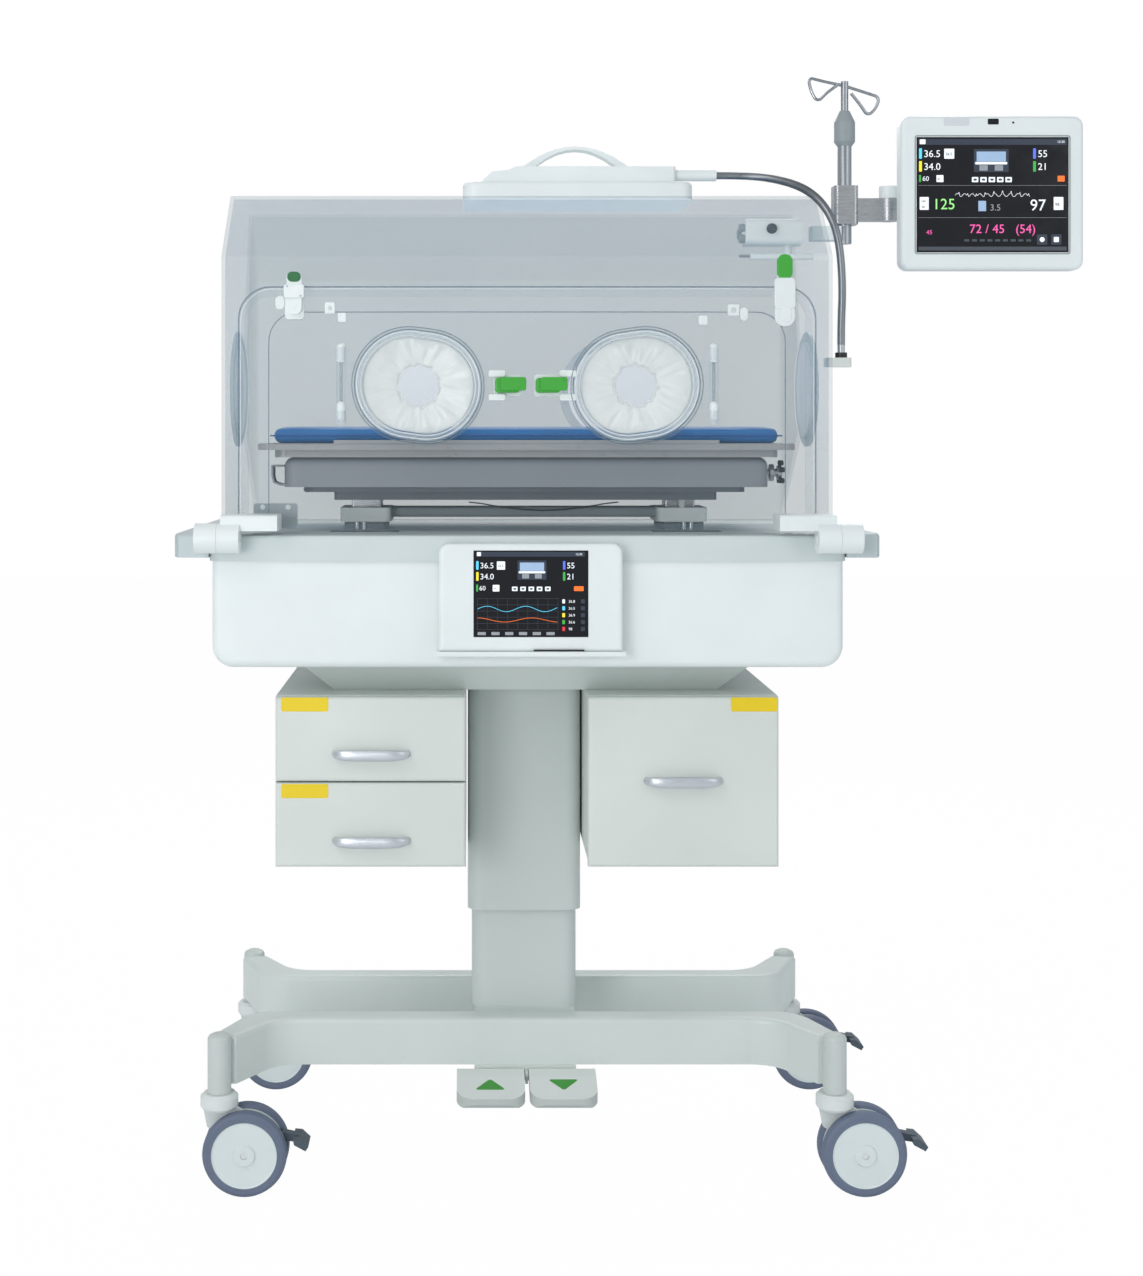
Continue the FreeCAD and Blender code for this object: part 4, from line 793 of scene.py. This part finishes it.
class Art:
    """Flat shapes and characters drawn on a glass that faces the front, as one thin piece."""

    def __init__(self, y):
        self.bm = bmesh.new()
        self.materials = []
        self.y = y

    def index(self, material):
        if material not in self.materials:
            self.materials.append(material)
        return self.materials.index(material)

    def shape(self, points, material, lift=0.25):
        """A flat closed outline of (x, z) pairs in mm, anticlockwise from the front."""
        front = [self.bm.verts.new(mm(x, self.y - lift, z)) for x, z in points]
        back = [self.bm.verts.new(mm(x, self.y, z)) for x, z in points]
        made = [self.bm.faces.new(front), self.bm.faces.new(list(reversed(back)))]
        for n in range(len(points)):
            m = (n + 1) % len(points)
            made.append(self.bm.faces.new((front[m], front[n], back[n], back[m])))
        for face in made:
            face.material_index = self.index(material)

    def tile(self, x0, z0, x1, z1, material, lift=0.25, corner=0.8):
        middle = ((x0 + x1) / 2, (z0 + z1) / 2)
        path = rounded_path(x1 - x0, z1 - z0, corner, 2)
        self.shape([(middle[0] + u, middle[1] + v) for u, v in path], material, lift)

    def line(self, points, width, material, lift=0.25):
        for start, end in zip(points, points[1:]):
            start, end = Vector(start), Vector(end)
            across = (end - start).normalized().orthogonal() * width / 2
            self.shape((start - across, end - across, end + across, start + across), material, lift)

    def words(self, text, x, z, height, material, lift=0.35, align="LEFT"):
        curve = bpy.data.curves.new("text", "FONT")
        curve.body = text
        curve.size = height * MM / 0.72
        curve.extrude = 0.00012
        curve.resolution_u = 3
        curve.align_x = align
        holder = bpy.data.objects.new("text", curve)
        mesh = bpy.data.meshes.new_from_object(holder)
        upright = Matrix.Rotation(math.radians(90), 4, "X")
        mesh.transform(Matrix.Translation(mm(x, self.y - lift + 0.12, z)) @ upright)
        start = len(self.bm.faces)
        self.bm.from_mesh(mesh)
        self.bm.faces.ensure_lookup_table()
        for face in self.bm.faces[start:]:
            face.material_index = self.index(material)
        bpy.data.objects.remove(holder)

    def finish(self, name, body):
        screen = add_piece(name, mesh_from(self.bm, name), self.materials, body)


def cradle(art, x, z, size):
    """A simple drawing of a bed under a hood."""
    for left, low, right, top, material, lift in (
        (-0.5, -0.32, 0.5, 0.34, UI_TILE, 0.2),
        (-0.42, -0.02, 0.42, 0.27, UI_PALE, 0.3),
        (-0.46, -0.1, 0.46, -0.03, UI_WHITE, 0.3),
        (-0.34, -0.28, -0.1, -0.12, UI_GREY, 0.3),
        (0.1, -0.28, 0.34, -0.12, UI_GREY, 0.3),
    ):
        art.tile(x + left * size, z + low * size, x + right * size, z + top * size, material, lift)


def reading(art, x, z, size, value, tab, note=None):
    """A number with a coloured tab in front of it and a small set value after it."""
    art.tile(x, z - 0.2 * size, x + 0.34 * size, z + 1.05 * size, tab)
    art.words(value, x + 0.55 * size, z, size * 0.85, UI_WHITE)
    if note:
        art.tile(x + 3.0 * size, z - 0.2 * size, x + 4.2 * size, z + 1.0 * size, UI_WHITE)
        art.words(note, x + 3.15 * size, z + 0.2 * size, size * 0.34, GLASS, 0.5)


def vital_signs(art, left, right, rows, size, small):
    """The set and measured values at a screen's two sides, in rows given by their heights."""
    top, middle, low = rows
    reading(art, left, top, size, "36.5", UI_CYAN, "36.5")
    reading(art, left, middle, size, "34.0", UI_YELLOW)
    reading(art, left, low, small, "60", UI_GREEN, "65")
    reading(art, right, top, size, "55", UI_BLUE)
    reading(art, right, middle, size, "21", UI_GREEN)


def buttons(art, x, z, size, step, count):
    """A row of white buttons with a dark mark in each."""
    for n in range(count):
        left = x + n * step
        art.tile(left, z, left + size, z + size * 0.8, UI_WHITE)
        art.tile(left + 0.25 * size, z + 0.25 * size, left + 0.75 * size, z + 0.55 * size, UI_TILE, 0.4)


PANEL_GLASS_Y = -299.2
MONITOR_GLASS_Y = -109.5


def panel_screen():
    """The body's panel: values on top, two trends and a column of figures below."""
    art = Art(PANEL_GLASS_Y)
    art.tile(-76, 948, 82, 955, UI_TILE, 0.15)
    art.tile(-75, 948.8, -69, 954.5, UI_WHITE)
    art.words("12:30", 78, 950, 3.2, UI_WHITE, align="RIGHT")
    vital_signs(art, -76, 50, (931, 915, 899), 10, 8)
    cradle(art, 5, 928, 42)
    buttons(art, -24, 898, 8, 12, 5)
    art.tile(66, 898, 80, 905, UI_ORANGE)
    for row in range(6):
        z = 842 + row * 9
        art.line([(-76, z), (44, z)], 0.35, UI_DIM, 0.2)
    for column in range(9):
        x = -74 + column * 14.6
        art.line([(x, 842), (x, 887)], 0.3, UI_DIM, 0.2)
    upper = [(-74 + 4 * n, 872 + 4 * math.sin(n * 0.45)) for n in range(30)]
    lower = [(-74 + 4 * n, 856 + 3 * math.cos(n * 0.32)) for n in range(30)]
    art.line(upper, 0.7, UI_CYAN, 0.3)
    art.line(lower, 0.7, UI_ORANGE, 0.3)
    for n in range(6):
        art.tile(-74 + n * 20, 834, -62 + n * 20, 838.5, UI_GREY, 0.2)
    figures = (("36.8", UI_WHITE), ("36.5", UI_CYAN), ("36.9", UI_YELLOW), ("36.6", UI_GREEN), ("98", UI_RED))
    for n, (value, tab) in enumerate(figures):
        z = 881 - n * 10
        art.tile(49, z - 1, 53, z + 5, tab)
        art.words(value, 58, z, 4, UI_WHITE)
        art.tile(76, z - 1, 82, z + 5, UI_TILE)
    art.finish("panel_screen_art", "carriage")


def monitor_screen():
    """The monitor's values, pulse line and large figures, and the fittings on its face."""
    art = Art(MONITOR_GLASS_Y)
    x0, x1 = 611, 841
    art.tile(x0, 1575, x1, 1584, UI_TILE, 0.15)
    art.tile(x0 + 2, 1576, x0 + 11, 1583.5, UI_WHITE)
    art.words("12:30", x1 - 3, 1578, 3.8, UI_WHITE, align="RIGHT")
    vital_signs(art, x0 + 1, x1 - 52, (1556, 1536, 1519), 13, 9)
    cradle(art, 724, 1550, 54)
    buttons(art, 694, 1517, 10, 13, 5)
    art.tile(x1 - 14, 1518, x1 - 3, 1527, UI_ORANGE)
    art.line([(x0, 1512), (x1, 1512)], 0.4, UI_GREY, 0.2)
    beat = [4.5 if n % 9 == 4 else 0 for n in range(78)]
    wave = [(668 + n * 1.5, 1497 + 2.4 * math.sin(n * 0.8) + rise) for n, rise in enumerate(beat)]
    art.line(wave, 0.6, UI_WHITE, 0.3)
    art.tile(x0 + 2, 1474, x0 + 16, 1494, UI_WHITE)
    art.words("160", x0 + 4, 1486, 3.4, GLASS, 0.5)
    art.words("90", x0 + 5, 1477, 3.4, GLASS, 0.5)
    art.words("125", x0 + 22, 1475, 17, UI_LIME)
    art.tile(704, 1472, 716, 1488, UI_PALE)
    art.words("3.5", 722, 1473, 10, UI_GREY)
    art.words("97", 784, 1473, 18, UI_WHITE)
    art.tile(x1 - 20, 1474, x1 - 5, 1494, UI_WHITE)
    art.words("98", x1 - 18, 1480, 5, GLASS, 0.5)
    art.line([(x0, 1462), (x1, 1462)], 0.4, UI_GREY, 0.2)
    art.words("72 / 45   (54)", 690, 1438, 14, UI_PINK)
    art.words("45", x0 + 12, 1436, 7, UI_PINK)
    for n in range(9):
        art.tile(682 + n * 12, 1425, 690 + n * 12, 1428.5, UI_DIM, 0.2)
    art.tile(x1 - 46, 1420, x1 - 30, 1436, UI_TILE)
    art.tile(x1 - 24, 1420, x1 - 8, 1436, UI_TILE)
    art.tile(x1 - 42, 1424, x1 - 34, 1432, UI_WHITE, 0.4, 4)
    art.tile(x1 - 20, 1424, x1 - 12, 1432, UI_WHITE, 0.4, 1)
    art.tile(x0, 1411, x1, 1417, UI_DIM, 0.15)
    art.finish("monitor_screen_art", "monitor")
    front = MONITOR_FRONT / MM
    plate("monitor_alarm_lamp", (670, front, 1611), (39, 12), LAMP, "monitor", 2.5, 1.2, 0.5)
    plate("monitor_window", (727, front, 1611), (17, 9), GLASS, "monitor", 1.5, 0.5, 0.2)
    plate("monitor_light_sensor", (758, front, 1609.5), (3.4, 3.4), BLACK, "monitor", 1.6, 0.4, 0.1)
    bezel = [(726 + u, front - 0.1, 1497.5 + v) for u, v in rounded_path(240, 183, 3, 4)]
    wire("monitor_bezel", bezel, 0.9, RAIL, "monitor", closed=True, order=2)


# Small fittings


DRAWER_FACE = -230
LABELS = (("upper", -331, 723.4, 70), ("lower", -331, 594.5, 70), ("right", 338, 723.4, 69))
PEDAL_SLOPE_BACK, PEDAL_SLOPE_FRONT = -168, -217
ARROW_Y = -189
ARROW_CORNER = 3.2  # how much of each side its cut corners take


def pedal_fall(y):
    """How far a pedal's top has come down at a depth, from its profile."""
    share = (PEDAL_SLOPE_BACK - y) / (PEDAL_SLOPE_BACK - PEDAL_SLOPE_FRONT)
    return 3 + 13 * min(1.0, max(0.0, share))


def labels():
    """The drawers' bare yellow plates and the panel's slot."""
    for word, x, z, width in LABELS:
        plate("label_" + word, (x, DRAWER_FACE, z), (width, 21), YELLOW, "drawer_" + word, 3, 0.5, 0.2)
    pedal_arrows()
    plate("panel_slot", (44, PANEL_FRONT / MM + 0.2, 812), (74, 2.6), BLACK, "carriage", 1.2, 0.5, 0.2)


def pedal_arrows():
    """A green arrow on each pedal, lying on its slope."""
    for word, middle, sign in (("up", -54.5, 1), ("down", 56.5, -1)):
        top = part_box("pedal_" + word)[1][2] / MM
        corners = [(-23, -12.5 * sign), (23, -12.5 * sign), (0, 14 * sign)]
        outline = []
        for n, (x, y) in enumerate(corners):
            for other in (corners[n - 1], corners[(n + 1) % 3]):
                pull = ARROW_CORNER / math.dist((x, y), other)
                outline.append((x + (other[0] - x) * pull, y + (other[1] - y) * pull))
        vertices = [
            mm(middle + x, ARROW_Y + y, top - pedal_fall(ARROW_Y + y) + lift)
            for lift in (-0.2, 0.5)
            for x, y in outline
        ]
        faces = tube_faces(2, len(outline))
        add_mesh("pedal_arrow_" + word, vertices, faces, ARROW, "pedal_" + word, smooth=False)


def screw(name, place, body, radius, material=STEEL):
    """A round screw head with a dimple, facing the front."""
    profile = [(radius, 0), (radius, 0.5), (radius * 0.75, 1.0), (radius * 0.4, 1.05), (radius * 0.36, 0.6)]
    lathe(name, place, profile, material, body, "-y", 16)


def latches():
    """The two turning latches at the door's top, each with a green tab."""
    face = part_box("door_latch_left")[0][1] / MM
    # the left tab takes the darkened green as painted shade
    plate("latch_tab_left", (-345, face + 1.6, 1358.5), (20, 15), GREEN_PAINTED_SHADE, "door_latch_left", 7, 3.4, 1.2)
    plate("latch_block_left", (-345, face + 1.4, 1337), (30, 20), WHITE, "door_latch_left", 3, 5, 1)
    screw("latch_screw_left_a", (-355, face - 3.5, 1344), "door_latch_left", 1.6)
    screw("latch_screw_left_b", (-335, face - 3.5, 1330), "door_latch_left", 1.6)
    plate("latch_tab_right", (380, face + 1.6, 1373), (23, 38), GREEN, "door_latch_right", 11, 4.4, 1.6)
    plate("latch_block_right", (380, face + 1.4, 1334), (31, 46), WHITE, "door_latch_right", 6, 5, 1.4)
    plate("latch_foot_right", (380, face + 1.2, 1303), (30, 36), WHITE, "door_latch_right", 14, 3.6, 1.2)
    plate("latch_pad_right", (381, face - 2.2, 1303), (17, 24), WHITE, "door_latch_right", 8, 1.6, 0.8)


DOOR_CLIPS = ((-293, 1313, 15, 17), (-275, 1299, 12, 14), (261, 1295, 13, 14), (306, 1310, 17, 17))
PIN_PROFILE = [(3, 0), (5.5, 1), (6.6, 3), (6.6, 23), (5.5, 26), (3, 28)]
PIN_X = 276
LEVELS = ((-1, "lower"), (1, "upper"))
PORT_PARTS = ((-45, -21, 38, -8), (60, 39, 40, 26))  # bracket, catch tab, the tab's width, first ridge


def clips():
    """White clips, buttons and stops moulded on the door."""
    y = DOOR_FACE
    for n, (x, z, width, height) in enumerate(DOOR_CLIPS):
        plate(f"door_clip_{n}", (x, y, z), (width, height), WHITE, "front_door", 2, 5, 0.8)
    plate("door_button_left", (-367, y, 1321), (14, 21), WHITE, "front_door", 7, 4, 1.2)
    plate("door_button_right", (322, y, 1304), (12, 20), WHITE, "front_door", 6, 4, 1.2)
    screw("door_clip_screw_0", (-293, y - 5, 1313), "front_door", 3.4, material=BAND)
    screw("door_clip_screw_3", (306, y - 5, 1310), "front_door", 4.2, material=BAND)
    for (hand, word), (bracket_x, tab_x, tab_width, ridge_x) in zip(SIDES, PORT_PARTS):
        for up, level in LEVELS:
            place = (bracket_x, y - 7, PORT_Z + up * 17.5)
            plate(f"port_bracket_{word}_{level}", place, (25, 10), WHITE, "front_door", 3, 8, 1)
        catch = "port_catch_" + word
        front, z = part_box(catch)[0][1] / MM, PORT_Z + 2
        plate("catch_tab_" + word, (tab_x, front - 0.2, z), (tab_width, 20), GREEN, catch, 4, 3, 1)
        for n in range(3):
            place = (ridge_x + hand * 3.4 * n, front - 1.6, z)
            plate(f"catch_ridge_{word}_{n}", place, (1.3, 17), GREEN, catch, 0.6, 0.9, 0.3)
        for (_, level), rise in zip(LEVELS, (-52, 34)):
            place = (hand * PIN_X, y - 9, PORT_Z + rise)
            lathe(f"port_pin_{word}_{level}", place, PIN_PROFILE, WHITE, "front_door", "z", 20)


def oval_line(name, hand, grow, y, radius, material, body):
    """A line that follows a port's oval."""
    angles = [2 * math.pi * n / 60 for n in range(60)]
    points = [port_place(hand, angle, port_radius(angle, grow), y) for angle in angles]
    wire(name, points, radius, material, body, closed=True)


def clear_edges():
    """Painted highlights and painted shade: the bright and dark lines along the edges of the clear mouldings.
    """
    y = DOOR_FACE - 0.4
    for hand, word in SIDES:
        # the outer dark lines are painted shade, the inner bright ones painted highlights
        oval_line("port_rim_outer_" + word, hand, 10.4, y - 7.6, 0.8, EDGE_SHADE_LINE, "front_door")
        oval_line("port_rim_inner_" + word, hand, 1.4, y - 7.6, 1.2, PAINTED_GLINT, "front_door")
        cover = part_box("port_door_" + word)[0][1] / MM
        oval_line("cover_line_outer_" + word, hand, 14, cover + 1, 0.7, EDGE_SHADE_LINE, "port_door_" + word)
        oval_line("cover_line_inner_" + word, hand, 7, cover - 0.2, 0.9, PAINTED_GLINT, "port_door_" + word)
    low, high = (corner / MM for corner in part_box("front_door"))
    # a dark painted-shade line and a bright painted-highlight line round the door
    for name, inset, line, material in (("door_edge", 1.2, 0.9, EDGE_SHADE_LINE), ("door_edge_glint", 4.2, 0.6, PAINTED_GLINT)):
        points = door_outline(high.x - inset, high.z - inset, 48, 30, low.z + 2, y)
        wire(name, points, line, material, "front_door")
    wire("inner_wall_edge", door_outline(385, 1308, 44, 36, 1000, -226.5), 0.8, EDGE_SHADE_LINE, "front_door")


def door_outline(x, top, corner, drop, foot, y):
    """Points up one side of the door, round its two top corners and down the other side."""
    shoulder = top - corner - drop
    points = [(-x, y, foot), (-x, y, shoulder)]
    points += arc_points(-x + corner, top - corner, corner, 180, 90, y)
    points += arc_points(x - corner, top - corner, corner, 90, 0, y)
    return points + [(x, y, shoulder), (x, y, foot)]


def arc_points(x, z, radius, start, end, y, count=9):
    """Points of an arc in a plane that faces the front, between two angles in degrees."""
    angles = [math.radians(start + (end - start) * n / (count - 1)) for n in range(count)]
    return [(x + radius * math.cos(angle), y, z + radius * math.sin(angle)) for angle in angles]


DECK_TOP = 977


def deck_plates():
    """The plate at the deck's front left, the lifting rods, the deck's strips, and dark patches of painted
    shadow on the deck by the blocks.
    """
    plate("deck_plate", (-377, -205, 1003), (66, 38), RAIL, "carriage", 4, 2, 0.4)
    for n, x in enumerate((-358, -396)):
        screw(f"deck_plate_screw_{n}", (x, -207, 1016), "carriage", 4, material=BAND)
    for side, xs in (("left", (-262, -251)), ("right", (250, 261))):
        for n, x in enumerate(xs):
            place = (x, -82, DECK_TOP)
            lathe(f"lift_rod_{side}_{n}", place, [(3.6, 0), (3.6, 11)], STEEL, "carriage", "z", 20)
    for hand, side in SIDES:
        place = (hand * 395, -225, DECK_TOP)
        plate("deck_strip_" + side, place, (110, 18), STEEL, "carriage", 2, 0.6, 0.2, normal="z")
    # dark flat patches on the deck top: painted shadow by the support blocks
    for n, x in enumerate((-246, 246)):
        place = (x, -150, DECK_TOP)
        plate(f"deck_painted_shadow_{n}", place, (105, 40), TRAY_PAINTED_SHADE, "carriage", 4, 0.6, 0.2, normal="z")


def sensor():
    """The sensor module's grey dials, its socket and the rail below it."""
    low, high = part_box("sensor_module")
    left = low.x / MM
    dial = [(6, 0), (7.5, 1), (7.5, 6), (6.5, 9)]
    for n, (y, z) in enumerate(((-104, 1446), (-104, 1430), (-86, 1438))):
        lathe(f"sensor_dial_{n}", (left - 4, y, z), dial, RAIL, "carriage", "x", 20)
    socket = [(8, -2), (8, 3), (6.4, 4), (6.4, 7), (5.6, 8), (5.6, 11), (3, 13)]
    lathe("sensor_socket", (382, low.y / MM, 1444), socket, BLACK, "carriage", "-y", 24)
    rail = [(x, (low.y + high.y) / 2 / MM, 1404) for x in (335, 390, 449)]
    wire("sensor_rail", rail, 2.4, STEEL, "carriage")


HOOK_Y = -186
HOOK = [(-352, 1050), (-372, 1049.5), (-381, 1053), (-384, 1062), (-384, 1079)]
HOOK_TAB = [(-382, 1078), (-366, 1078)]
STRAP_Y = -40
STRAP = [(-87, 1018), (-66, 1015.5), (-35, 1010), (0, 1006), (31, 1004.5)]
STRAP += [(64, 1006), (100, 1010.5), (130, 1015.5), (151, 1018)]
KNOB = (366, -150, 1067)
KNOB_PROFILE = [(5, 0), (5, 6), (13, 7), (13, 13), (6, 14), (6, 18), (11, 19), (11, 25), (3, 27)]
KNOB_GRIPS = 5
GRIP_CIRCLE, GRIP_OUT = 15, 20
GRIP_PROFILE = [(2, 0), (4, 1), (4, 8), (2, 9)]


def bed_details():
    """The strap under the frame, the tray's hook and the tray's knob with its grips."""
    strip("tray_hook", HOOK, HOOK_Y, 34, 3, TRAY, "bed")
    strip("tray_hook_tab", HOOK_TAB, HOOK_Y, 20, 3, TRAY, "bed")
    lathe("tray_knob", KNOB, KNOB_PROFILE, STEEL, "bed", "x", 28)
    x, y, z = KNOB
    for n in range(KNOB_GRIPS):
        angle = math.radians(90 + 360 / KNOB_GRIPS * n)
        place = (x + GRIP_OUT, y + GRIP_CIRCLE * math.cos(angle), z + GRIP_CIRCLE * math.sin(angle))
        lathe(f"tray_knob_grip_{n}", place, GRIP_PROFILE, BLACK, "bed", "x", 14)
    strip("bed_strap", STRAP, STRAP_Y, 8, 1.8, BLACK, "carriage")


def strip(name, points, y, width, thick, material, body):
    """A flat strip that follows (x, z) points and is wide along Y, in mm."""
    vertices, faces = [], []
    for n, (x, z) in enumerate(points):
        before, after = points[max(n - 1, 0)], points[min(n + 1, len(points) - 1)]
        along = (Vector(after) - Vector(before)).normalized()
        out = Vector((-along.y, along.x)) * thick / 2
        for side in (1, -1):
            for depth in (0, width):
                vertices.append(mm(x + side * out.x, y + depth, z + side * out.y))
    for n in range(len(points) - 1):
        a, b = 4 * n, 4 * n + 4
        for p, q in ((0, 1), (1, 3), (3, 2), (2, 0)):
            faces.append((a + p, a + q, b + q, b + p))
    faces.append((0, 2, 3, 1))
    last = 4 * (len(points) - 1)
    faces.append((last, last + 1, last + 3, last + 2))
    band = add_mesh(name, vertices, faces, material, body)
    fix_normals(band)
    round_over = band.modifiers.new("round", "BEVEL")
    round_over.width = thick * 0.2 * MM
    round_over.segments = 2


def fix_normals(obj):
    """Turns a closed mesh's faces outwards."""
    bm = bmesh.new()
    bm.from_mesh(obj.data)
    bmesh.ops.recalc_face_normals(bm, faces=bm.faces)
    bm.to_mesh(obj.data)
    bm.free()


# Floor and light

FLOOR_HALF = 12
FLOOR_WHITE = 0.98  # how much of the floor's own shading the camera's white replaces
WORLD_TINT = (0.93, 0.96, 1.0, 1)
WORLD_STRENGTH = 0.52
AIM = Vector((0, 0, 0.9))
LAMPS = (
    ("key", (-2.2, -2.6, 3.4), 2.4, 35, (1, 0.99, 0.97)),
    ("fill", (2.6, -2.2, 2.0), 2.4, 16, (0.95, 0.98, 1)),
    ("front", (-1.7, -3.8, 1.0), 1.4, 36, (1, 1, 1)),
    ("back", (0.4, 2.6, 3.0), 2.2, 45, (1, 1, 1)),
)


def seen_share(tree, most=1.0):
    """How white a backdrop shows: most for a ray from the camera or through clear sheet, else 0."""
    path = tree.nodes.new("ShaderNodeLightPath")
    seen = tree.nodes.new("ShaderNodeMath")
    seen.operation = "MAXIMUM"
    tree.links.new(path.outputs["Is Camera Ray"], seen.inputs[0])
    tree.links.new(path.outputs["Is Transmission Ray"], seen.inputs[1])
    share = tree.nodes.new("ShaderNodeMath")
    share.operation = "MULTIPLY"
    share.inputs[1].default_value = most
    tree.links.new(seen.outputs["Value"], share.inputs[0])
    return share.outputs["Value"]


def blend_shaders(tree, share, one, two, target):
    blend = tree.nodes.new("ShaderNodeMixShader")
    tree.links.new(share, blend.inputs["Fac"])
    tree.links.new(one, blend.inputs[1])
    tree.links.new(two, blend.inputs[2])
    tree.links.new(blend.outputs["Shader"], target.inputs["Surface"])


def white_floor():
    bm = bmesh.new()
    bmesh.ops.create_grid(bm, x_segments=1, y_segments=1, size=FLOOR_HALF)
    mesh = mesh_from(bm, "floor")
    s = Shader("floor_white")
    s.main.inputs["Base Color"].default_value = srgb(238, 240, 241)
    s.main.inputs["Roughness"].default_value = 0.9
    light = s.add("Emission", Color=(1, 1, 1, 1))
    share = seen_share(s.tree, FLOOR_WHITE)
    output = s.tree.nodes["Material Output"]
    blend_shaders(s.tree, share, s.main.outputs["BSDF"], light.outputs["Emission"], output)
    mesh.materials.append(s.material)
    new_object("floor", mesh)


def studio():
    """A soft world, white where it is seen, and four soft lamps."""
    world = bpy.data.worlds.new("studio")
    scene.world = world
    world.use_nodes = True
    tree = world.node_tree
    soft = tree.nodes["Background"]
    soft.inputs["Color"].default_value = WORLD_TINT
    soft.inputs["Strength"].default_value = WORLD_STRENGTH
    white = tree.nodes.new("ShaderNodeBackground")
    white.inputs["Color"].default_value = (1, 1, 1, 1)
    sides = soft.outputs["Background"], white.outputs["Background"]
    blend_shaders(tree, seen_share(tree), *sides, tree.nodes["World Output"])
    for name, place, size, power, tint in LAMPS:
        data = bpy.data.lights.new(name, "AREA")
        data.size = size
        data.energy = power
        data.color = tint
        lamp = new_object(name, data)
        lamp.location = place
        lamp.rotation_euler = (AIM - Vector(place)).to_track_quat("-Z", "Y").to_euler()


dress_stand()
dress_carriage()
dress_hood()
dress_pole()
hose()
for port_hand, port_word in SIDES:
    cuff(port_hand, port_word)
mattress()
panel_screen()
monitor_screen()
labels()
latches()
clips()
sensor()
bed_details()
clear_edges()
deck_plates()
white_floor()
studio()
